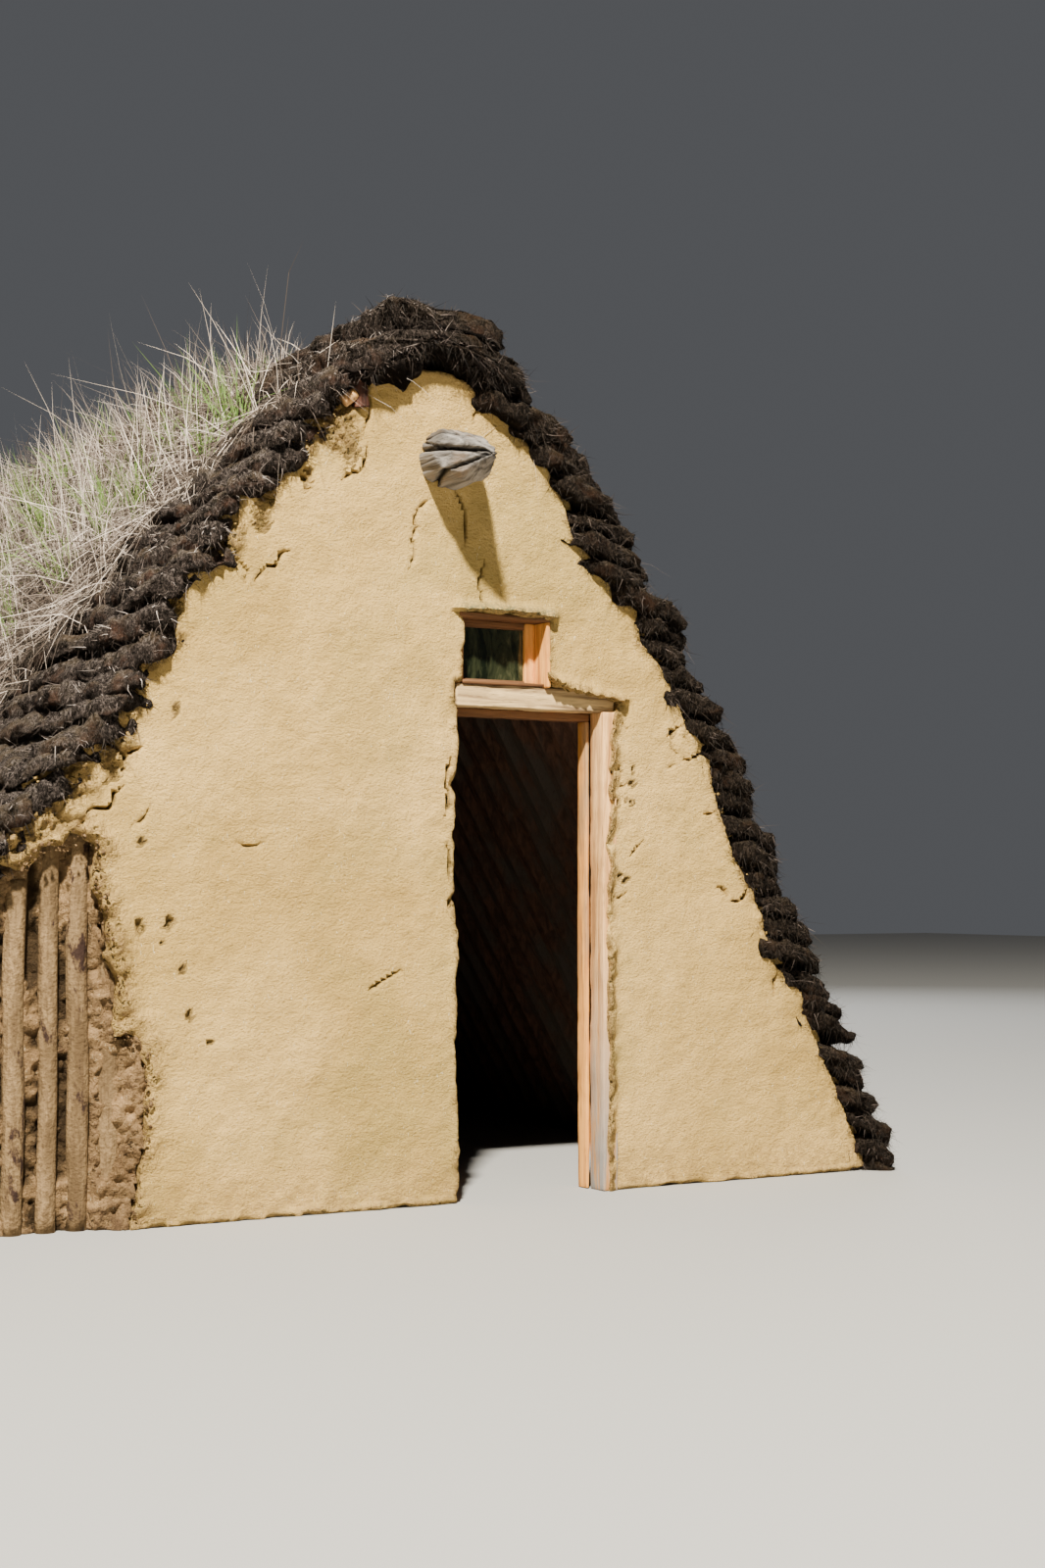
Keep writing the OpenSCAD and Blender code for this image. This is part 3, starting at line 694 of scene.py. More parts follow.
def open_crack(flat, deep, split, crack, half, cell):
    corners = np.array(crack)
    gap, foot = nearest_on(flat, corners, False)
    on_line, far = 0.55 * cell, 2.2 * cell
    line, lip = gap < on_line, (gap >= on_line) & (gap < far)
    ends = np.minimum(*(np.linalg.norm(flat - corners[end], axis=1) for end in (0, -1)))
    fade = np.clip(ends / 0.03, 0.35, 1.0)
    flat[line] = foot[line]
    strong = min(1.0, (half / FULL_CRACK)**1.5)
    deep[line] += (0.006 + 0.020 * strong) * fade[line]
    # The crack's line is marked for painted shade.
    split[line] = (0.3 + 0.7 * strong) * fade[line]
    half = half * 0.6
    reach = half * fade + (gap - on_line) * (far - half) / (far - on_line)
    away = (flat - foot) / np.maximum(gap, 1e-6)[:, None]
    flat[lip] = foot[lip] + away[lip] * reach[lip, None]


def lip_over(flat, deep, ends, out, high):
    gap, foot = nearest_on(flat, np.array(ends), False)
    lip = bell(gap, high) * unit((flat[:, 1] - foot[:, 1]) / 0.004 + 1.0)
    deep -= out * lip * (1.0 + 0.5 * rough(on_wall(flat), 0.035, 2, 15))
    return lip


def crumble(flat3, deep, split, seed):
    flat = flat3[:, :2]
    fallen = nearest_on(flat, np.array(FALLEN), False)[0]
    torn = bell(fallen, 0.055) * unit(0.7 + 0.8 * rough(flat3, 0.12, 2, seed + 11))
    patchy = unit(0.8 + 0.6 * rough(flat3, 0.07, 2, seed + 13))
    clods = rough(flat3, 0.028, 3, seed + 14)
    for s, z, wide in CRUMBLED:
        loose = np.exp(-(((flat[:, 0] - s)**2 + (flat[:, 1] - z)**2) / wide**2)**2)
        torn = np.maximum(torn, loose * patchy)
        deep += 0.013 * loose * clods
        # Hollows between the clods are marked for painted shade.
        np.maximum(split, 0.9 * loose * np.clip(clods - 0.05, 0.0, 0.5), out=split)
    deep += torn * (0.010 + 0.017 * rough(flat3, 0.04, 3, seed + 12))
    return torn


# %% [markdown]
# These are put together here. The mesh keeps three numbers at each point for its finish: how
# broken the clay is, how much painted shade it gets in a crack, a pit or a hollow, and how mossy
# it is.

# %% Shape the clay
def shape_clay(mesh, outline, seen_outline, cell, cracks, pits, lips, crumbles, seed):
    flat = points_of(mesh)[:, :2].copy()
    flat3 = on_wall(flat)
    gap = nearest_on(flat, outline, True)[0]
    edge_gap = nearest_on(flat, seen_outline, True)[0]
    deep = 0.009 * rough(flat3, 0.55, 2, seed) + 0.0036 * rough(flat3, 0.14, 2, seed + 1)
    deep += 0.0022 * rough(flat3, 0.034, 2, seed + 2)
    crumb = np.clip(0.65 + 0.7 * rough(flat3, 0.16, 2, seed + 9), 0.0, 1.3)
    deep += np.exp(-edge_gap / 0.05) * crumb * (0.010 * rough(flat3, 0.05, 3, seed + 3) + 0.004)
    rim = np.exp(-edge_gap / 0.020)
    worn = unit(rim * (1.3 + 0.9 * rough(flat3, 0.07, 3, seed + 4)) - 0.35)
    split, torn, mossy = np.zeros((3, len(flat)))
    if crumbles:
        torn = crumble(flat3, deep, split, seed)
        worn = np.maximum(worn, unit(1.6 * torn))
    deep += 0.030 * unit(edge_gap / 0.018) * ~inside(flat, seen_outline)
    round_edge = unit(1.0 - gap / 0.014)
    for ends, out, high, moss in lips:
        round_edge *= 1.0 - 0.85 * bell(nearest_on(flat, np.array(ends), False)[0], 0.03)
    deep += 0.012 * (1.0 - np.sqrt(1.0 - 0.96 * round_edge**2))
    for ends, out, high, moss in lips:
        mossy = np.maximum(mossy, moss * lip_over(flat, deep, ends, out, high))
    for crack, half in cracks:
        open_crack(flat, deep, split, crack, half, cell)
    for s, z, wide, into in pits:
        reach = np.linalg.norm((flat - (s, z)) * (1.0, 0.75), axis=1)
        reach /= wide * (1.0 + 0.8 * rough(flat3, 0.014, 2, seed + 5))
        bowl = np.sqrt(unit(1.0 - reach**2))
        deep += 1.3 * into * bowl
        # The bottom of a pit is marked for painted shade.
        split = np.maximum(split, 0.7 * bowl**2)
        worn = np.maximum(worn, unit(bowl * 1.3))
    shift = np.column_stack([rough(flat3, 0.06, 3, seed + way) for way in (6, 7)])
    flat += (0.0075 + 0.008 * torn[:, None]) * shift * np.exp(-gap / 0.04)[:, None]
    move_points(mesh, np.column_stack((flat[:, 0], deep, np.maximum(flat[:, 1], 0.0))))
    mark(mesh, broken=worn, split=split, mossy=mossy)


# %% [markdown]
# The sheet is cut, shaped, thickened and set on the wall. Its back rim has the colour of broken
# clay, and only the faces in the deeper cracks stay sharp.

# %% Lay the clay
CELL, BACK_CELL = 0.0102, 0.021
DAUB_T = daub_high.y - WALL_FACE
NEAR_BACK, CRACK_FROM, SHARP_ANGLE = 0.9 * DAUB_T, 0.021, math.radians(48.0)
LIPS = [([(0.115, 2.000), (0.30, 2.002), (0.47, 1.993)], 0.042, 0.026, 1.0),
        ([(0.47, 1.762), (0.58, 1.738), (0.66, 1.726), (0.75, 1.712)], 0.036, 0.026, 0.10),
        ([(0.700, 0.0), (0.700, 1.25), (0.712, 1.66)], 0.024, 0.026, 0.0)]


def lay_clay(name, outline, seen_outline, cell, marks, seed, hidden, turn=1.0, wall_y=WALL_FACE):
    mesh = as_mesh(cut_sheet(outline, cell), name, False)
    shape_clay(mesh, outline, seen_outline, cell, *marks, seed)
    bm = bmesh_of(mesh)
    clay_shell(bm, DAUB_T)
    layer = bm.verts.layers.float["broken"]
    for v in bm.verts:
        if v.co.y > NEAR_BACK:
            v[layer] = 1.0
        v.co.x = WALL_MIDDLE + turn * v.co.x
        v.co.y = wall_y + turn * v.co.y
    mesh = as_mesh(bm, name)
    keep_piece(mesh, name, clay, hidden)
    pushed = (points_of(mesh)[:, 1] - wall_y) * turn
    in_crack = (pushed > CRACK_FROM) & (pushed < NEAR_BACK)
    sharp = [any(in_crack[i] for i in face.vertices) for face in mesh.polygons]
    mesh.polygons.foreach_set("use_smooth", np.logical_not(sharp))
    mesh.set_sharp_from_angle(angle=SHARP_ANGLE)


lay_clay("front_clay", laid_outline, front_outline, CELL, (CRACKS, PITS, LIPS, True), 3,
         [f"front_daub_{part}" for part in ("left", "right", "beside_window", "top")])

# %% [markdown]
# The photograph doesn't show the back. There the coat is whole and sound, without a doorway, and
# its edge is stepped by the courses of turf as the front one is. The steps are worked out from
# the curve of the gable, and the sheet is turned round to face the rear.

# %% The back clay
WALL_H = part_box("front_daub_top")[1].z
BACK_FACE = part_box("back_daub")[1].y
COURSES = 31
COURSE_H = WALL_H / COURSES
HALF_WIDTH = {-1: 2.08, 1: 1.86}
APEX, GABLE_CURVE = WALL_H + 0.08, 0.75


def wall_half(side, z):
    return HALF_WIDTH[side] * np.power(unit(1.0 - z / APEX), GABLE_CURVE)


def stepped(side):
    corners = []
    for z in np.arange(COURSES) / COURSES * WALL_H:
        s = side * float(wall_half(side, z + COURSE_H / 2))
        corners += [(s, z), (s - side * 0.012, z + COURSE_H * 0.92)]
    return corners


back_outline = np.array(stepped(-1) + stepped(1)[::-1]) * (-1.0, 1.0)
lay_clay("back_clay", back_outline, back_outline, BACK_CELL, ([], [], [], False), 41,
         ["back_daub"], -1.0, BACK_FACE)

# %% [markdown]
# ## The turf
#
# Each course is one long sod tube. It starts at the edge of the front clay, turns round the corner,
# runs along the slope and turns again to the back clay. The tube is a twenty-sided cone of equal
# ends, cut into rings, and its rings are then set along the course's path in plan.

# %% Where the courses start and end
SIDES = 20
PROUD, SOD_DEEP = 0.05, 0.19
DEPTH = BACK_FACE - WALL_FACE
left_line = np.array([(1.97, 0.0), (1.90, 0.3), (1.74, 0.6), (1.58, 0.9)]
                     + [(-s, z) for s, z in LEFT_EDGE if z < 2.5]
                     + [(0.44, 2.57), (0.42, 2.62), (0.385, 2.69), (0.31, 2.745), (0.22, 2.80),
                        (0.19, 2.83)])
EDGE_LINES = {-1: left_line, 1: np.array(RIGHT_EDGE + [(0.05, 2.83)])}
RIGHT_NOSES = np.array([(1.975, 0.0), (1.91, 0.25), (1.76, 0.5), (1.60, 0.771), (1.47, 1.0),
                        (1.40, 1.15), (1.333, 1.292), (1.247, 1.486), (1.213, 1.609),
                        (1.149, 1.678), (1.042, 1.85), (0.958, 1.986), (0.917, 2.088),
                        (0.82, 2.151), (0.793, 2.272), (0.735, 2.389), (0.67, 2.47), (0.602, 2.55),
                        (0.53, 2.68), (0.45, 2.74), (0.41, 2.823)])


def edge_at(side, low, high):
    line = EDGE_LINES[side][np.argsort(EDGE_LINES[side][:, 1])]
    heights = np.linspace(low + 0.3 * (high - low), high - 0.2 * (high - low), 4)
    return float(np.interp(heights, line[:, 1], line[:, 0]).mean())


def nose_at(side, z, chance):
    if side < 0:
        flare = 0.10 * unit((z / WALL_H - 0.68) / 0.20)
        return float(wall_half(side, z)) + 0.20 + flare + 0.034 * chance
    nose = np.interp(z, RIGHT_NOSES[:, 1], RIGHT_NOSES[:, 0])
    return float(nose) + 0.065 * unit(z / 0.6 - 0.2) + 0.085 * chance


def spread(start, stop, count):
    return start + (stop - start) * np.arange(count) / count


# %% [markdown]
# In plan the path is a lap over the clay, a quarter turn, the run along the slope, a quarter turn
# and the way back to the rear gable. A course falls a little from the clay to its nose.

# %% The path of one course
def course_path(side, k, chance):
    left = side < 0
    z = (k + 0.5) * COURSE_H + (0.014 * chance[2] if not left and k > 0 else 0.0)
    fall = 0.27 if left else 0.34
    edge = edge_at(side, k * COURSE_H, (k + 1) * COURSE_H)
    nose = max(nose_at(side, z if left else z - fall * 0.15, chance[0]), edge + 0.09)
    back_edge = float(wall_half(side, z))
    turn = min(0.16 if left else 0.09, 0.75 * (nose - edge + 0.012))
    front_y, back_y = -PROUD + 0.012 * chance[1], DEPTH + PROUD + 0.01 * chance[2]
    quarter = np.pi / 2
    a = np.append(spread(0.0, quarter, 26), quarter)
    b = np.append(spread(0.0, quarter, 10), quarter)
    lap = spread(edge - 0.045, nose - turn, 22)
    tuck = unit(1.0 - (lap - edge) / (0.10 if left else 0.07))**1.3 * 0.064
    run = np.concatenate((spread(front_y + turn, 1.2, 38)[1:], spread(1.2, DEPTH - turn, 15)))
    back = np.linspace(nose - turn, back_edge - 0.012, 8)[1:]
    s = np.concatenate((lap, nose - turn + turn * np.sin(a), np.full(len(run), nose),
                        nose - turn + turn * np.cos(b), back))
    y = np.concatenate((front_y + tuck, front_y + turn - turn * np.cos(a), run,
                        back_y - turn + turn * np.sin(b), np.full(len(back), back_y)))
    facing = np.concatenate((np.zeros(len(lap)), a, np.full(len(run), quarter), quarter + b,
                             np.full(len(back), np.pi)))
    return s, y, facing, z - fall * np.maximum(s - edge, 0.0), fall


RINGS = len(course_path(-1, 5, (0, 0, 0))[0])
print("rings on one course:", RINGS)

# %% [markdown]
# A sod tube starts as a plain one: a cone of equal ends, cut across into rings. Its points know
# their ring and their angle round it, and an oval of any squareness can be set at that angle.

# %% A plain tube and an oval
def plain_tube(rings, sides):
    bm = bmesh.new()
    bmesh.ops.create_cone(bm, cap_ends=True, segments=sides, radius1=1.0, radius2=1.0, depth=1.0)
    long = [e for e in bm.edges if abs(e.verts[0].co.z - e.verts[1].co.z) > 0.5]
    bmesh.ops.subdivide_edges(bm, edges=long, cuts=rings - 2, use_grid_fill=True)
    mesh = as_mesh(bm, "tube")
    spots = points_of(mesh)
    ring = np.rint((spots[:, 2] + 0.5) * (rings - 1)).astype(int)
    return mesh, ring, np.arctan2(spots[:, 1], spots[:, 0])


def oval(angle, wide, high, square):
    c, s = np.cos(angle), np.sin(angle)
    return wide * np.sign(c) * np.abs(c)**square, high * np.sign(s) * np.abs(s)**square


# %% [markdown]
# The rings are squarish ovals that droop outward, as a sod does when it dries over an edge. Noise
# swells and pinches them, and every half metre or so a notch shows where the next sod begins.

# %% One sod tube set along its path
def shape_course(side, k, ring, angle, chance):
    s, y, facing, z, fall = course_path(side, k, chance)
    left, seed = side < 0, 100 + 7 * k + (0 if side < 0 else 400)
    tidy = 1.0 if left else 0.9
    along = np.concatenate(([0.0], np.cumsum(np.hypot(np.diff(s), np.diff(y)))))
    ends = np.minimum(along, along[-1] - along)
    ends = np.sqrt(1.0 - (1.0 - unit(ends / 0.03))**2) * 0.9 + 0.1
    track = np.column_stack((along, np.full(len(along), k * 3.1), np.zeros(len(along))))
    high = COURSE_H * ((0.51 if left else 0.47) + 0.12 * tidy * chance[3]
                       + 0.13 * tidy * rough(track, 0.30, 2, seed + 6))[ring]
    facing, along, y, z = facing[ring], along[ring], y[ring], z[ring]
    out, rise = oval(angle - 0.4 * np.sin(angle), SOD_DEEP / 2, 1.0, 0.5)
    rise = np.where(out > 0.0, np.sign(rise) * np.abs(rise)**(1.7 if left else 1.15), rise)
    up = rise * high * ends[ring] * (0.88 + 0.12 * unit(-out / 0.06))
    sag = np.interp(facing, (0.0, np.pi / 2, np.pi), (0.10, fall if left else 0.16, 0.10))
    up = up - sag * (out + SOD_DEEP / 2) - (1.6 if left else 0.9) * np.maximum(out, 0.0)**2
    reach = out - SOD_DEEP / 2
    place = np.column_stack((s[ring] + reach * np.sin(facing), y - reach * np.cos(facing), z + up))
    joints = np.cumsum(0.34 + 0.26 * np.abs(lattice(np.arange(1, 16)[:, None] * [1.7, 0, 0], seed)))
    notch = bell(along[:, None] - joints, 0.014).max(axis=1)
    swell = 0.018 * rough(place, 0.30, 2, seed) + 0.022 * tidy * rough(place, 0.080, 2, seed + 1)
    swell += 0.016 * tidy * rough(place, 0.032, 2, seed + 2) - 0.030 * notch
    swell *= unit(0.4 + out / (SOD_DEEP / 2))
    place[:, 0] += swell * np.sin(facing)
    place[:, 1] -= swell * np.cos(facing)
    place[:, 2] += tidy * (0.022 * rough(place, 0.22, 2, seed + 3)
                           + 0.015 * rough(place, 0.050, 2, seed + 4))
    bare_to = np.interp(z, (0.0, 1.5, 1.8, 2.1, 2.4, 2.7), (1.6, 1.2, 0.75, 0.40, 0.22, 0.08))
    if not left:
        bare_to = bare_to * 0.5 + 0.05
    bare_to = bare_to + (0.10 + 0.16 * bare_to) * rough(place, 0.16, 3, seed + 5)
    straw = unit((place[:, 1] - bare_to) / 0.22) * np.clip(0.5 + rise, 0.30, 1.0)
    straw *= place[:, 1] < DEPTH - 0.12
    moss = unit(1.8 * rise - 0.6)
    if left:
        moss = unit(moss + 0.5 * unit((1.75 - place[:, 2]) / 0.4) * (rise > -0.4))
    place[:, 2] = np.maximum(place[:, 2], 0.0)
    outer = unit(0.25 + out / (SOD_DEEP / 2))
    # Undersides and the crease behind the top are marked for painted shade.
    split = unit(-0.35 - rise) + np.clip(rise - 0.80, 0.0, 0.5) * (outer < 0.7)
    return place + (0.0, WALL_FACE, 0.0), straw, moss, outer, np.clip(split * 1.3, 0.0, 0.95)


# %% [markdown]
# The slopes are laid in four pieces, a lower and an upper one a side. Each stands for the bands of
# its side and for the verges that lap the gables.

# %% Lay the courses
def lay_courses(name, side, first, last, hidden):
    mesh, ring, angle = plain_tube(RINGS, SIDES)
    bm, numbers = bmesh.new(), []
    for k in range(first, last):
        seeds = np.array([(k * 3.7, at, 0) for at in (1.0, 5.0, 9.0, 13.0)]) + 0.5
        chance = lattice(seeds, 60 + side)
        place, *values = shape_course(side, k, ring, angle, chance)
        place[:, 0] = WALL_MIDDLE + side * place[:, 0]
        move_points(mesh, place)
        bm.from_mesh(mesh)
        numbers.append(values)
    mesh = as_mesh(bm, name)
    straw, moss, outer, split = (np.concatenate(values) for values in zip(*numbers))
    mark(mesh, straw=straw, moss=moss, outer=outer, split=split)
    return keep_piece(mesh, name, turf, hidden)


all_turf, half_way = [], COURSES // 2 + 1
for word, side in (("left", -1), ("right", 1)):
    for level, first, last, bands in (("lower", 0, half_way, "12"),
                                      ("upper", half_way, COURSES, "34")):
        hidden = [f"{word}_slope_turf_{n}" for n in bands]
        hidden += [f"{end}_{word}_verge_{level}" for end in ("front", "back")]
        all_turf.append(lay_courses(f"{word}_turf_{level}", side, first, last, hidden))

# %% [markdown]
# The sods reach a hand's length into the roof. Behind them lies packed peat, down to the poles. It
# is one closed block a side, drawn as its end face and pushed along the house.

# %% Packed peat under the sods
POLES_SLOPE, POLES_PEAK = {-1: 1.459, 1: 1.7878}, {-1: 2.7939, 1: 3.0304}
PEAT_LOW, PEAT_TOP, PEAT_INSET = 2.74, 2.81, 0.152


def poles_at(side, z):
    return (POLES_PEAK[side] - z) / POLES_SLOPE[side]


def peat_block(name, side):
    heights = np.linspace(0.0, PEAT_LOW, 18)
    near = [(poles_at(side, z), z) for z in heights]
    far = [(nose_at(side, z, 0.0) - 0.13, z) for z in heights]
    top = [(0.055 * side, PEAT_LOW), (0.055 * side, PEAT_TOP), (0.17, PEAT_TOP)]
    bm = bmesh.new()
    face = bm.faces.new([bm.verts.new((WALL_MIDDLE + side * s, WALL_FACE + PEAT_INSET, z))
                         for s, z in near + top + far[::-1]])
    made = bmesh.ops.extrude_face_region(bm, geom=[face])["geom"]
    bmesh.ops.translate(bm, vec=(0.0, DEPTH - 2 * PEAT_INSET, 0.0),
                        verts=[g for g in made if isinstance(g, bmesh.types.BMVert)])
    mesh = as_mesh(bm, name)
    mark(mesh, straw=0.0, moss=0.0)
    keep_piece(mesh, name, turf, (), False)


peat_block("left_peat", -1)
peat_block("right_peat", 1)

# %% [markdown]
# Thick sods close the ridge: a broad one, a narrower one on it and a short one at the rear. A
# small one is tucked under them in front. They are tubes too, laid along the house, with ends that
# close in like the end of a loaf.

# %% Cap sods
def cap_sod(name, base, thick, halves, y0, y1, hidden, seed, middle=0.0, arch=0.0, rings=(56, 88)):
    long = y1 - y0
    near, mid = min(0.06, 0.25 * long), min(0.70, 0.5 * long)
    along = y0 + np.concatenate((spread(0.0, near, 14), spread(near, mid, rings[0]),
                                 spread(mid, long - near, rings[1]),
                                 np.linspace(long - near, long, 12)))
    mesh, ring, angle = plain_tube(len(along), 44)
    close = (1.0 - (1.0 - unit(np.minimum(along - y0, y1 - along) / 0.055))**4)**0.25
    close, along = 0.12 + 0.88 * close[ring], along[ring]
    out, up = oval(angle, 1.0, thick / 2 * 1.08, 0.36)
    s = out * (np.where(out < 0, *halves) * close)
    z = base + thick / 2 + up * close - 0.32 * np.maximum(np.abs(s) - 0.14, 0.0)
    place = np.column_stack((s, along, z))
    place[:, 2] += arch * np.exp(-((s - 0.03) / 0.10)**4) * unit(-4.0 * up / thick) * (along < 0.25)
    swell = 0.016 * rough(place, 0.26, 2, seed) + 0.036 * rough(place, 0.070, 3, seed + 1)
    place[:, 0] += swell * out
    place[:, 1] -= swell * unit(1.0 - (along - y0) / 0.2)
    place[:, 2] += 0.010 * rough(place, 0.2, 2, seed + 2) + 0.012 * rough(place, 0.045, 2, seed + 3)
    hem = unit(-up / thick * 2.0) * unit(np.abs(out) + 0.3)
    place[:, 2] -= 0.030 * hem * np.clip(0.5 + rough(place, 0.05, 2, seed + 5), 0.0, 1.5)
    straw = unit((along - y0 - 0.95 + 0.1 * rough(place, 0.1, 2, seed + 4)) / 0.2)
    straw *= unit(0.5 + up / thick)
    place[:, 0] += WALL_MIDDLE + middle
    place[:, 1] += WALL_FACE
    move_points(mesh, place)
    mesh = as_mesh(bmesh_of(mesh), name)
    # The undersides of the cap sods are marked for painted shade.
    mark(mesh, straw=straw, moss=unit(1.2 * up / thick - 0.1), outer=1.0,
         split=np.clip(-0.1 - up / thick * 2.0, 0.0, 0.95))
    return keep_piece(mesh, name, turf, hidden)


LOWER_TOP, UPPER_TOP = WALL_H + 0.10, WALL_H + 0.21
all_turf.append(cap_sod("cap_turf_lower", WALL_H - 0.01, 0.11, (0.37, 0.36), -0.085, DEPTH + 0.05,
                        ["ridge_turf_lower"], 700, 0.0, 0.05))
all_turf.append(cap_sod("cap_turf_upper", LOWER_TOP, 0.095, (0.20, 0.235), -0.075, DEPTH + 0.04,
                        ["ridge_turf_upper"], 720))
cap_sod("cap_turf_hem", WALL_H - 0.055, 0.085, (0.085, 0.085), -0.080, 0.16, (), 760, -0.165,
        rings=(12, 12))
cap_rear = cap_sod("cap_turf_rear", UPPER_TOP - 0.02, 0.085, (0.17, 0.16), 2.2, DEPTH + 0.04,
                   ["ridge_turf_rear"], 740, rings=(24, 40))

# %% [markdown]
# ## The boards of the doorway and the window
#
# A sawn board is a box with its edges eased by a small bevel. It is then cut across its length
# many times, so that slow noise can bow it a little and give its edges the wear of an old board.

# %% One worn board
def normals_of(mesh):
    return np.array([v.normal[:] for v in mesh.vertices])


def worn_board(bm, low, high, seed, ease=0.004, wave=0.0025):
    low, high = Vector(low), Vector(high)
    size = high - low
    along = max(range(3), key=lambda axis: size[axis])
    part = bmesh.new()
    bmesh.ops.create_cube(part, size=1.0)
    bmesh.ops.scale(part, vec=size, verts=part.verts)
    bmesh.ops.translate(part, vec=(low + high) / 2, verts=part.verts)
    bmesh.ops.bevel(part, geom=part.edges[:], offset=min(ease, 0.3 * min(size)), affect="EDGES",
                    segments=2, profile=0.5, material=-1)
    long = [e for e in part.edges
            if abs((e.verts[0].co - e.verts[1].co)[along]) > 0.6 * size[along]]
    bmesh.ops.subdivide_edges(part, edges=long, cuts=max(4, int(size[along] / 0.018)),
                              use_grid_fill=True)
    mesh = as_mesh(part, "board")
    spots = points_of(mesh)
    worn = wave * rough(spots, 0.22, 2, seed) + 0.45 * wave * rough(spots, 0.035, 2, seed + 1)
    move_points(mesh, spots + normals_of(mesh) * np.minimum(worn, 0.4 * wave)[:, None])
    bm.from_mesh(mesh)


def board_piece(name, boxes, paint, hidden, seed, ease=0.004, wave=0.0025):
    bm = bmesh.new()
    for i, (low, high) in enumerate(boxes):
        worn_board(bm, low, high, seed + i, ease, wave)
    return keep_piece(as_mesh(bm, name), name, paint, hidden)


def boards_for(name, hidden, paint, *worn):
    return board_piece(name, [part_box(node) for node in hidden], paint, hidden, *worn)


def solids_of(node):
    spots = points_of(nodes[node].data)
    middle = (spots[:, 0].min() + spots[:, 0].max()) / 2
    for part in (spots[spots[:, 0] < middle], spots[spots[:, 0] > middle]):
        yield Vector(part.min(axis=0)), Vector(part.max(axis=0))


# %% [markdown]
# The lintel is hewn: its face is hollowed a little along the middle, its lower edge is sharp, and
# it laps behind the clay on the left. The jambs are greyed outside, the inner stops stay orange.

# %% Lintel, jambs and stops
def lintel_piece():
    bm = bmesh.new()
    low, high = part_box("door_lintel")
    seen_from = WALL_MIDDLE + 0.106
    worn_board(bm, (seen_from, low.y, low.z), high, 11, 0.006, 0.004)
    worn_board(bm, (low.x, WALL_FACE + DAUB_T, low.z), (seen_from + 0.002, high.y, high.z), 12)
    mesh = as_mesh(bm, "lintel")
    spots = points_of(mesh)
    front = spots[:, 1] < low.y + 0.012
    rise = (spots[front, 2] - low.z) / (high.z - low.z)
    spots[front, 1] += 0.010 * np.sin(unit(rise) * np.pi) + 0.006 * rise
    move_points(mesh, spots)
    keep_piece(mesh, "lintel", lintel_grey, ["door_lintel"])


lintel_piece()
boards_for("outer_jambs", ["door_left_jamb", "door_right_jamb"], jamb_wood, 21, 0.005, 0.004)
board_piece("inner_stops", solids_of("door_side_stops"), orange_up, ["door_side_stops"], 25)
boards_for("head_stop", ["door_head_stop"], orange_across_in_painted_shade, 28)

# %% [markdown]
# The window is a little box of boards in the clay, with a sash of two stiles and two rails in it.
# All are worn boards too. The left cheek starts deeper, where the clay laps over it.

# %% Boards of the window
boards_for("window_head_board", ["window_head"], orange_across_in_painted_shade, 31, 0.003)
left_cheek, right_cheek = solids_of("window_side_boards")
left_cheek[0].y += 0.03
board_piece("window_cheeks", [left_cheek, right_cheek], orange_up, ["window_side_boards"], 33,
            0.003)
boards_for("window_sill_board", ["window_sill"], orange_across_in_painted_shade, 36, 0.003)
sash_low, sash_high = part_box("window_sash")
pane_low, pane_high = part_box("window_pane")
board_piece("sash_stiles", [(sash_low, (pane_low.x, sash_high.y, sash_high.z)),
                            ((pane_high.x, sash_low.y, sash_low.z), sash_high)],
            orange_up, (), 38, 0.003, 0.0015)
rails = [((pane_low.x, sash_low.y + 0.002, low), (pane_high.x, sash_high.y, high))
         for low, high in ((sash_low.z, pane_low.z), (pane_high.z, sash_high.z))]
board_piece("sash_rails", rails, orange_across_in_painted_shade, ["window_sash"], 42, 0.002, 0.001)

# %% [markdown]
# Old glass is a thin pane. Its dark green colour with faint upright streaks is a painted reflection
# of trees and of the dark room behind it, and on top of that it mirrors the sky, a little wavily.

# %% Window glass
def refinish(names, paint):
    for name in names:
        nodes[name].data.materials.clear()
        nodes[name].data.materials.append(paint)
    print(paint.name, "on", len(names), "nodes")


glass_with_painted_reflection = Finish("window_glass", 0.06, 0.35)
# The dark green colour with upright streaks is a painted reflection.
glass_with_painted_reflection.color = glass_with_painted_reflection.tones(glass_with_painted_reflection.grain(14.0, (1.0, 1.0, 0.35), 5.0, 0.7, 0.6),
                          (0.42, (0.004, 0.006, 0.003)), (0.56, (0.022, 0.026, 0.012)),
                          (0.70, (0.085, 0.085, 0.045)))
refinish(["window_pane"], glass_with_painted_reflection.close((glass_with_painted_reflection.grain(9.0, detail=1.0), 0.25, 0.01)))

# %% [markdown]
# ## The ridge beam
#
# The beam's solid already has the right shape, with its ends chopped to a prow. A copy is cut into
# three lengths. The two ends, which show, are remeshed into fine even squares that noise and a
# few long drying cracks can shape; the cracks are marked for painted shade, and the upper left of
# each end for dark bark. The middle, inside the roof, stays plain.

# %% Beam
BEAM_S, BEAM_Z, BEAM_END = 0.055, 2.508, 0.10
DRYING_CRACKS = [(-0.13, 0.020, 0.06, 0.034, 0.0060), (0.20, -0.095, 0.05, 0.022, 0.0045),
                 (0.02, 0.062, 0.06, 0.014, 0.0035), (-0.28, 0.050, 0.04, 0.010, 0.0030)]


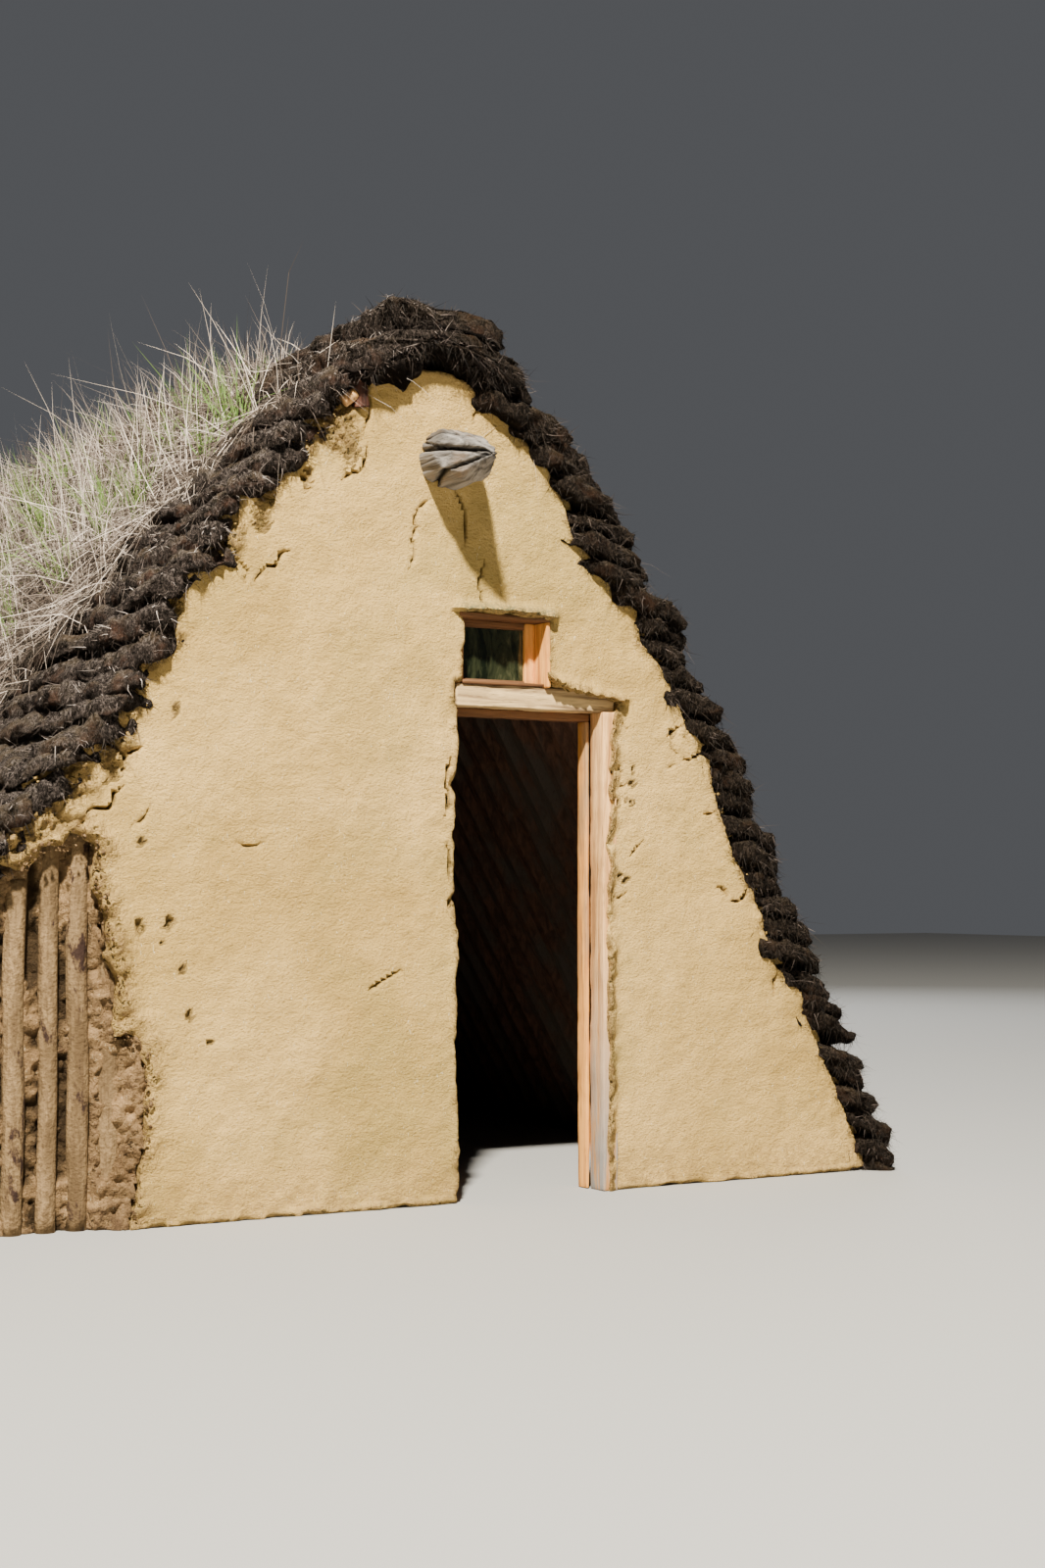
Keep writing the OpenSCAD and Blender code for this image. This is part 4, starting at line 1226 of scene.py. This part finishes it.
def beam_part(y0, y1):
    bm = bmesh_of(nodes["ridge_beam"].data)
    bmesh.ops.remove_doubles(bm, verts=bm.verts, dist=0.0005)
    for place, way in ((y0, -1.0), (y1, 1.0)):
        cut = bmesh.ops.bisect_plane(bm, geom=bm.verts[:] + bm.edges[:] + bm.faces[:],
                                     plane_co=(0, place, 0), plane_no=(0, way, 0), clear_outer=True)
        edges = [g for g in cut["geom_cut"] if isinstance(g, bmesh.types.BMEdge)]
        if edges:
            bmesh.ops.holes_fill(bm, edges=edges, sides=0)
    return bm


def fine_mesh(bm, voxel):
    helper = put("coarse", as_mesh(bm, "coarse"))
    remesh = helper.modifiers.new("even", "REMESH")
    remesh.mode, remesh.voxel_size = "VOXEL", voxel
    seen = helper.evaluated_get(bpy.context.evaluated_depsgraph_get())
    fine = bpy.data.meshes.new_from_object(seen)
    bpy.data.objects.remove(helper)
    return fine


def weather_end(mesh, way):
    spots = points_of(mesh)
    out = way * (spots[:, 1] - (WALL_FACE if way < 0 else BACK_FACE))
    s, z = spots[:, 0] - WALL_MIDDLE - BEAM_S, spots[:, 2] - BEAM_Z
    push = 0.0035 * rough(spots, 0.12, 2, 5) + 0.0022 * rough(spots * (1.0, 0.12, 1.0), 0.012, 2, 6)
    split = np.zeros(len(spots))
    for seed, (tilt, start, limit, into, wide) in enumerate(DRYING_CRACKS, 7):
        line = start + tilt * out + 0.006 * rough(spots, 0.07, 2, seed)
        groove = bell(z - line, wide) * (s < limit) * np.clip((0.36 - out) / 0.06, 0.2, 1)
        push -= into * groove
        split = np.maximum(split, groove)
    # The grooves are marked for painted shade, the upper left of the end for dark bark.
    split = unit(split * 1.2) + 0.45 * unit((z - 0.045) / 0.02) * (s < 0.0)
    move_points(mesh, spots + normals_of(mesh) * push[:, None])
    mark(mesh, split=unit(split))


def beam_piece():
    bm = bmesh.new()
    cuts = WALL_FACE + BEAM_END, BACK_FACE - BEAM_END
    for y0, y1, way, voxel in ((-9.0, cuts[0], -1.0, 0.0055), (cuts[1], 9.0, 1.0, 0.009)):
        fine = fine_mesh(beam_part(y0, y1), voxel)
        weather_end(fine, way)
        bm.from_mesh(fine)
    bm.from_mesh(as_mesh(beam_part(*cuts), "beam_middle"))
    keep_piece(as_mesh(bm, "hewn_beam"), "hewn_beam", beam_grey, ["ridge_beam"])


beam_piece()

# %% [markdown]
# ## Poles
#
# A grown pole is a tube that is never quite round or straight. The gable poles left of the door
# are made one by one, because those at the foot stand bare where the clay has fallen.

# %% Grown poles
POLE_DEEP = DAUB_T + 0.040
COVERED, BARE = 10, (-1.088, -1.187, -1.286, -1.387, -1.487, -1.585, -1.685, -1.785, -1.88)
pole_tube, pole_ring, pole_angle = plain_tube(30, 16)


def set_pole(bm, foot, top, wide, seed, bend):
    part = (pole_ring / pole_ring.max())[:, None]
    line = foot + (top - foot) * part
    along = (top - foot) / np.linalg.norm(top - foot)
    side = np.cross(along, (0.0, 1.0, 0.0))
    side /= np.linalg.norm(side)
    over = np.cross(side, along)
    seeds = np.column_stack((part[:, 0] * 3.0, np.full(len(part), seed * 1.7), np.zeros(len(part))))
    line = line + bend * (side * lattice(seeds, 1)[:, None] + over * lattice(seeds, 2)[:, None])
    c, s = np.cos(pole_angle), np.sin(pole_angle)
    bulge = rough(np.column_stack((c, s, part[:, 0] * 5.0 + seed)), 1.3, 3, seed)
    radius = wide / 2 * (1.0 + 0.09 * bulge)
    move_points(pole_tube, line + side * (radius * c)[:, None] + over * (radius * s)[:, None])
    bm.from_mesh(pole_tube)


def wall_top(s):
    half = HALF_WIDTH[-1 if s < 0 else 1]
    return min(WALL_H - 0.01, APEX * (1.0 - (abs(s) / half)**(1 / GABLE_CURVE)) - 0.015)


def poles_left_of_door():
    bm = bmesh.new()
    for i, s in enumerate([-0.108 - 0.098 * i for i in range(COVERED)] + list(BARE)):
        bare = i >= COVERED
        foot = np.array([WALL_MIDDLE + s, WALL_FACE + POLE_DEEP, 0.0])
        high = wall_top(s + 0.04 * np.sign(s)) - (0.05 if bare else 0.0)
        top = foot + (0.0, 0.0, max(0.05, high))
        wide = (0.080, 0.070, 0.060, 0.068, 0.078)[i % 5] if bare else 0.090
        set_pole(bm, foot, top, wide, i + 1, 0.007 if bare else 0.002)
    name = "poles_left_of_door"
    keep_piece(as_mesh(bm, name), name, coated_in_painted_shade, ["front_poles_left"])


poles_left_of_door()

# %% [markdown]
# Near the top the clay has come off two poles, and their round tops look out beside the cap. A
# third one is freshly chopped, so it has the pale finish of the jambs.

# %% Pole tops that break through the clay
def pole_stubs(name, stubs, paint):
    bm, corner = bmesh.new(), (WALL_MIDDLE, WALL_FACE, 0.0)
    for foot, top, wide, seed in stubs:
        set_pole(bm, np.array(foot) + corner, np.array(top) + corner, wide, seed, 0.0)
    keep_piece(as_mesh(bm, name), name, paint)


pole_stubs("pole_tops", [((-0.262, 0.006, 2.652), (-0.276, 0.000, 2.760), 0.056, 61),
                         ((-0.194, 0.022, 2.758), (-0.203, 0.020, 2.815), 0.042, 63)], stub_bark)
pole_stubs("chopped_end", [((-0.330, 0.000, 2.664), (-0.290, -0.004, 2.694), 0.040, 65)], jamb_wood)

# %% [markdown]
# The other poles keep their solids, which stand in the clay or in the dark of the room. They only
# get a finish: bark on the gable poles and posts, and on the rafters a redder wood painted nearly
# black, a painted shade for the dark room.

# %% Finish of the hidden poles
refinish(["front_ridge_post", "back_ridge_post", "front_poles_right", "front_poles_over_door",
          "back_poles"], bark)
refinish([f"{word}_rafters_{end}" for word in ("left", "right") for end in ("front", "rear")],
         rafter_bark_in_painted_shade)

# %% [markdown]
# Between the bare poles lies the first coat: rough clay and straw, pressed in by the handful.

# %% First coat between the poles
COAT_CELL, COAT_BACK = 0.0095, 0.135


def first_coat(name, outline, seed):
    mesh = as_mesh(cut_sheet(np.array(outline), COAT_CELL), name, False)
    s, z = points_of(mesh)[:, :2].T
    flat = np.column_stack((s, z, np.zeros(len(s))))
    skin = nearest_on(flat[:, :2], front_outline, True)[0]
    behind = inside(flat[:, :2], front_outline)
    spill = np.where(behind, 0.0, np.exp(-skin / 0.055))
    clods = np.clip(rough(flat * (1.0, 0.7, 1.0), 0.085, 4, seed), -0.8, 1.0)
    deep = 0.106 - 0.045 * spill - 0.024 * clods
    deep += 0.013 * rough(flat, 0.024, 3, seed + 1)
    deep = np.where(s < -1.145, np.maximum(deep, 0.078 + 0.006 * clods), deep)
    hollow = np.exp(-(((s + 1.13)**2 + (z - 0.81)**2) / 0.003))
    deep -= 0.040 * (unit((s + 1.155) / 0.02) * (1.0 - hollow))
    deep += 0.04 * bell(s + 1.336, 0.014) * unit((z - 0.70) / 0.1)
    deep = np.clip(deep, 0.012, 0.128)
    deep[behind] = np.maximum(deep[behind], DAUB_T + 0.004)
    move_points(mesh, np.column_stack((s, deep, z)))
    bm = bmesh_of(mesh)
    clay_shell(bm, COAT_BACK)
    bmesh.ops.translate(bm, vec=(WALL_MIDDLE, WALL_FACE, 0.0), verts=bm.verts)
    mesh = as_mesh(bm, name)
    spots = points_of(mesh)
    # Clay lying deeper among the poles is marked for painted shade.
    mark(mesh, broken=unit(0.6 + 0.5 * rough(spots, 0.05, 2, seed + 2)),
         split=np.clip((spots[:, 1] - WALL_FACE - 0.090) / 0.022, 0.0, 0.9))
    keep_piece(mesh, name, raw_clay)


first_coat("first_coat", [(-0.93, 0.0), (-0.93, 1.20), (-1.18, 1.38), (-1.33, 1.32), (-1.46, 1.16),
                          (-1.62, 0.86), (-1.76, 0.58), (-1.90, 0.30), (-1.98, 0.0)], 81)
first_coat("first_coat_at_the_top", [(-0.23, 2.56), (-0.23, 2.77), (-0.36, 2.77), (-0.44, 2.68),
                                     (-0.49, 2.58)], 84)

# %% [markdown]
# Where the clay breaks off it goes to crumbs, which cling to the broken edge and to the turf above
# it. Each crumb is a small broken ball of twenty sides, and all of them are one mesh.

# %% Crumbs along the broken edge
crumb_chances = np.random.default_rng(77)


def crumb_piece(name, paint, lines):
    ball, bm = bmesh.new(), bmesh.new()
    bmesh.ops.create_icosphere(ball, subdivisions=1, radius=1.0)
    crumb = as_mesh(ball, "crumb")
    round_spots = points_of(crumb)
    for corners, count, apart, biggest in lines:
        corners = np.array(corners)
        legs = np.linalg.norm(np.diff(corners, axis=0), axis=1)
        marks = np.concatenate(([0.0], np.cumsum(legs)))
        for at in crumb_chances.uniform(0.0, marks[-1], count):
            s, z = (np.interp(at, marks, corners[:, axis]) for axis in (0, 1))
            s, z = (s, z) + crumb_chances.normal(scale=apart, size=2)
            size = biggest * (0.28 + 0.72 * crumb_chances.random()**3)
            deep = WALL_FACE + 0.004 + 0.009 * crumb_chances.normal()
            place = np.array((WALL_MIDDLE + s, deep, max(z, size)))
            dents = 1.0 + 0.55 * rough(round_spots + 9.0 * place, 0.7, 2, 5)
            shape = crumb_chances.uniform(0.55, 1.2, 3)
            move_points(crumb, place + size * round_spots * shape * dents[:, None])
            bm.from_mesh(crumb)
    mesh = as_mesh(bm, name)
    mark(mesh, broken=0.9)
    keep_piece(mesh, name, paint, (), False)


crumb_piece("clay_crumbs", clay, [(LEFT_EDGE[:12], 160, 0.020, 0.012),
                                  (LEFT_EDGE[12:20], 70, 0.012, 0.008),
                                  ([(-0.53, 2.44), (-0.44, 2.55), (-0.36, 2.62)], 40, 0.022, 0.008),
                                  (RIGHT_EDGE[12:24], 60, 0.008, 0.008)])
crumb_piece("soil_crumbs", raw_clay, [(FALLEN[10:], 110, 0.012, 0.010),
                                      (FALLEN[:10], 80, 0.012, 0.009)])

# %% [markdown]
# ## Roots and grass
#
# Thousands of fibres are far too many to model one at a time. Each is a strip of one or two
# squares and a tip. Their places are drawn at random over the turf, weighted by area and by where
# they grow, and all of one kind become a single mesh made from arrays.

# %% Scatter over a surface
chances = np.random.default_rng(1865)


def numbers_of(mesh, layer):
    values = np.empty(len(mesh.vertices), np.float32)
    mesh.attributes[layer].data.foreach_get("value", values)
    return values


def scatter_over(pieces, count, favour):
    spots, facings, weights = [], [], []
    for mesh in (piece.data for piece in pieces):
        mesh.calc_loop_triangles()
        corners = np.empty(len(mesh.loop_triangles) * 3, np.int32)
        mesh.loop_triangles.foreach_get("vertices", corners)
        corners = corners.reshape(-1, 3)
        three = points_of(mesh)[corners]
        cross = np.cross(three[:, 1] - three[:, 0], three[:, 2] - three[:, 0])
        size = np.linalg.norm(cross, axis=1)
        straw, outer = (numbers_of(mesh, layer)[corners].mean(axis=1)
                        for layer in ("straw", "outer"))
        facing = cross / np.maximum(size, 1e-12)[:, None]
        spots.append(three)
        facings.append(facing)
        weights.append(size * outer * favour(three.mean(axis=1), facing, straw))
    spots, facings, weights = (np.concatenate(part) for part in (spots, facings, weights))
    picks = chances.choice(len(weights), count, p=weights / weights.sum())
    share = -np.log(chances.random((count, 3)) + 1e-9)
    share /= share.sum(axis=1)[:, None]
    return (spots[picks] * share[:, :, None]).sum(axis=1), facings[picks]


# %% [markdown]
# A strand is placed by its foot, its heading and its sag. It is kept within the reach of a straw
# beyond the solids, and out of the room, so a strand that would cross the poles is laid on them.

# %% One kind of strand
cad_low, cad_high = np.array(cad_box[0]), np.array(cad_box[1])
spare = 0.03 * (cad_high - cad_low) + 0.008
LIMITS = [(cad_low[0] - 0.9 * spare[0], cad_high[0] + 0.9 * spare[0]),
          (cad_low[1] - 0.8 * spare[1], cad_high[1] + 0.8 * spare[1]),
          (0.0, cad_high[2] + 0.97 * spare[2])]
TOP_LIMIT = LIMITS[2][1]
ROOM_TOP, INTO_TURF, FROM_GABLE = 2.70, 0.05, 0.06


def strand_corners(foot, heading, length, wide, sag, steps):
    heading = heading / np.linalg.norm(heading, axis=1)[:, None]
    across = np.cross(heading, chances.normal(size=heading.shape))
    across *= (wide / 2 / np.linalg.norm(across, axis=1))[:, None]
    room = np.maximum(TOP_LIMIT - foot[:, 2], 0.01) / np.maximum(heading[:, 2], 0.05)
    length = np.minimum(length, room)[:, None]
    rows = []
    for part in np.arange(steps) / steps:
        line = foot + (heading * part + sag * part**2) * length
        rows += [line - across * (1.0 - 0.5 * part), line + across * (1.0 - 0.5 * part)]
    rows.append(foot + (heading + sag) * length)
    corners = np.stack(rows, axis=1).reshape(-1, 3)
    side = np.repeat(np.where(foot[:, 0] < WALL_MIDDLE, -1.0, 1.0), 2 * steps + 1)
    x, y, z = corners.T
    roof = np.where(side < 0, poles_at(-1, z), poles_at(1, z)) + INTO_TURF
    under = (side * (x - WALL_MIDDLE) < roof) & (z < ROOM_TOP)
    under &= (y > WALL_FACE + FROM_GABLE) & (y < BACK_FACE - FROM_GABLE)
    x[under] = (WALL_MIDDLE + side * roof)[under]
    for axis, (low, high) in enumerate(LIMITS):
        corners[:, axis] = np.clip(corners[:, axis], low, high)
    return corners


def strands(name, foot, heading, length, wide, sag, tone, paint, steps=2):
    corners = strand_corners(foot, heading, length, wide, sag, steps)
    one = [corner for step in range(steps - 1) for corner in (
        2 * step, 2 * step + 1, 2 * step + 3, 2 * step + 2)]
    one += [2 * steps - 2, 2 * steps - 1, 2 * steps]
    turns = np.arange(len(foot))[:, None]
    loops = (turns * (2 * steps + 1) + np.array(one)).ravel()
    starts = (turns * len(one) + 4 * np.arange(steps)).ravel()
    mesh = bpy.data.meshes.new(name)
    mesh.vertices.add(len(corners))
    mesh.vertices.foreach_set("co", corners.ravel())
    mesh.loops.add(len(loops))
    mesh.loops.foreach_set("vertex_index", loops.astype(np.int32))
    mesh.polygons.add(len(starts))
    mesh.polygons.foreach_set("loop_start", starts.astype(np.int32))
    mesh.update(calc_edges=True)
    mesh.validate()
    mark(mesh, tone=np.repeat(tone, 2 * steps + 1))
    keep_piece(mesh, name, paint, (), False)


print("grass stays below", round(TOP_LIMIT, 3), "and between", np.round(LIMITS[0], 3))

# %% [markdown]
# Roots stand out of the bare faces of the sods and hang from their undersides, thickest in front.
# Roots on faces that look up are painted paler and those facing down darker, a painted highlight
# and shade, and on the right slope they are darker still, a painted shade.

# %% Roots
def drift(spread_by, count, lean=(0.0, 0.0, 0.0)):
    return chances.normal(scale=spread_by, size=(count, 3)) + lean


def lay_roots(name, count, favour, long_low, long_high):
    foot, facing = scatter_over(all_turf, count, favour)
    above = unit(0.5 + facing[:, 2])
    heading = facing * 0.7 + drift(0.60, count)
    heading[:, 2] -= 0.62 - 0.45 * above
    length = chances.uniform(long_low, long_high, count) * chances.uniform(0.3, 1.0, count)
    sag = drift(0.50, count, (0.0, 0.0, -0.35))
    clump = 0.5 + 0.5 * np.clip(rough(foot, 0.05, 2, 91), -1.0, 1.0)
    # Roots on faces that look up get paler tones: painted highlight and shade.
    tone = unit(chances.beta(0.9, 1.5, count) * (0.55 + 0.55 * above) * (0.6 + 0.9 * clump))
    # Roots on the right slope are darker and thinner: painted shade.
    damp_and_painted_shade = unit((foot[:, 0] - WALL_MIDDLE + 0.45) / 0.60)
    wide = chances.uniform(0.0014, 0.0034, count) * (1.0 - 0.30 * damp_and_painted_shade)
    strands(name, foot - facing * 0.004, heading, length * (0.6 + 0.8 * clump), wide, sag,
            tone * (1.0 - 0.36 * damp_and_painted_shade), root_paint)


def front_face(spot, facing, straw):
    near = unit((WALL_FACE + 0.9 - spot[:, 1]) / 0.9)**2
    near = np.where(spot[:, 2] > WALL_H - 0.03, 1.9 * np.sqrt(near), near)
    near *= 1.0 + 0.8 * (spot[:, 0] > WALL_MIDDLE + 0.3)
    return near * (1.0 - straw) * (facing[:, 1] < 0.75) * (0.35 + unit(-facing[:, 1]))


def sides_and_back(spot, facing, straw):
    return (0.15 + (spot[:, 1] > BACK_FACE - 0.1) * unit(facing[:, 1])) * (
        1.0 - 0.9 * straw) * (np.abs(facing[:, 0]) + np.abs(facing[:, 1]) > 0.3)


lay_roots("front_roots", 58000, front_face, 0.016, 0.056)
lay_roots("other_roots", 12000, sides_and_back, 0.014, 0.045)

# %% [markdown]
# Dead grass lies down the slopes like thatch, with pale stalks standing out of it and green tufts
# of the new year here and there.

# %% Where grass grows
grassy = all_turf + [cap_rear]



def grows_on(spot, facing, straw):
    left = spot[:, 0] < WALL_MIDDLE
    near = np.clip((1.6 - spot[:, 1]) / 4.0, 0.35, 1.0)
    bare = (spot[:, 0] > WALL_MIDDLE - 0.30) & (spot[:, 1] < WALL_FACE + 0.9)
    return straw * np.where(left, 1.0, 0.55) * (0.35 + 0.65 * near) * (facing[:, 2] > -0.3) * ~bare


def stands_on(spot, facing, straw):
    return grows_on(spot, facing, straw) * ((spot[:, 0] < WALL_MIDDLE + 0.15) | (spot[:, 1] > 0.0))


def hangs_from(spot, facing, straw):
    edge = unit(1.0 - np.abs(straw - 0.4) / 0.4) * (facing[:, 2] > -0.2)
    left = np.where(spot[:, 0] < WALL_MIDDLE - 0.25, 1.0, 0.06)
    return edge * left * (spot[:, 1] < 0.0)


# %% [markdown]
# Five kinds of dead and green grass are laid, each with its own lengths, lean and tones.

# %% Grass on the slopes and the ridge
def lay_thatch(name, count):
    foot, facing = scatter_over(grassy, count, grows_on)
    side = np.where(foot[:, 0] < WALL_MIDDLE, -1.0, 1.0)
    crest = unit((foot[:, 2] - WALL_H) / 0.1)
    downhill = np.column_stack((side * 0.55, np.zeros(count), -0.85 + 0.75 * crest))
    heading = downhill + facing * 0.35 + drift(0.55, count)
    length = chances.uniform(0.08, 0.30, count)
    sag = drift(0.30, count, (0.0, 0.0, -0.25))
    clump = unit(0.5 + 0.9 * rough(foot, 0.12, 2, 93))
    tone = unit(chances.beta(0.8, 0.9, count) * (0.25 + 1.1 * clump)) * 0.8
    strands(name, foot, heading, length, chances.uniform(0.0018, 0.0038, count), sag, tone,
            grass_paint)


def lay_hanging(name, count):
    foot, facing = scatter_over(all_turf, count, hangs_from)
    lean = drift(0.55, count)
    heading = facing * 0.8 + lean * 1.3 + (0.0, -0.60, 0.25)
    length = chances.uniform(0.06, 0.34, count) * chances.uniform(0.4, 1.0, count)
    sag = lean * 0.8 + (0.0, -0.20, -1.1)
    wide = chances.uniform(0.0014, 0.0030, count)
    strands(name, foot, heading, length, wide, sag, chances.uniform(0.10, 0.75, count),
            grass_paint, 3)


def lay_stalks(name, count, long_low, long_high, lean, wide):
    foot, facing = scatter_over(grassy, count, stands_on)
    heading = (0.0, 0.0, 1.0) + facing * 0.35 + drift(lean, count)
    length = chances.uniform(long_low, long_high, count)
    sag = drift(1.2 * lean, count, (0.0, 0.0, -lean))
    clump = np.clip(rough(foot, 0.14, 2, 95), -1.0, 1.0)
    wide = chances.uniform(0.6 * wide, wide, count)
    tone = np.clip(chances.uniform(0.15, 0.85, count) + 0.2 * clump, 0.0, 0.8)
    strands(name, foot, heading, length, wide, sag, tone, grass_paint, 3)


def lay_tufts(name, tufts, blades):
    middle, facing = scatter_over(grassy, tufts, stands_on)
    count = tufts * blades
    foot = np.repeat(middle, blades, axis=0) + drift(0.018, count)
    lean = drift(0.30, count)
    heading = np.array((0.0, 0.0, 1.0)) + np.repeat(facing, blades, axis=0) * 0.4 + lean
    length = chances.uniform(0.10, 0.34, count)
    wide = chances.uniform(0.003, 0.006, count)
    strands(name, foot, heading, length, wide, lean * 0.5 + (0.0, 0.0, -0.12),
            chances.uniform(0.87, 1.0, count), grass_paint)


lay_thatch("thatch_of_dead_grass", 35000)
lay_hanging("hanging_straws", 5000)
lay_stalks("standing_stalks", 3200, 0.20, 0.60, 0.12, 0.0030)
lay_stalks("leaning_stalks", 6000, 0.10, 0.34, 0.50, 0.0034)
lay_tufts("green_tufts", 135, 34)
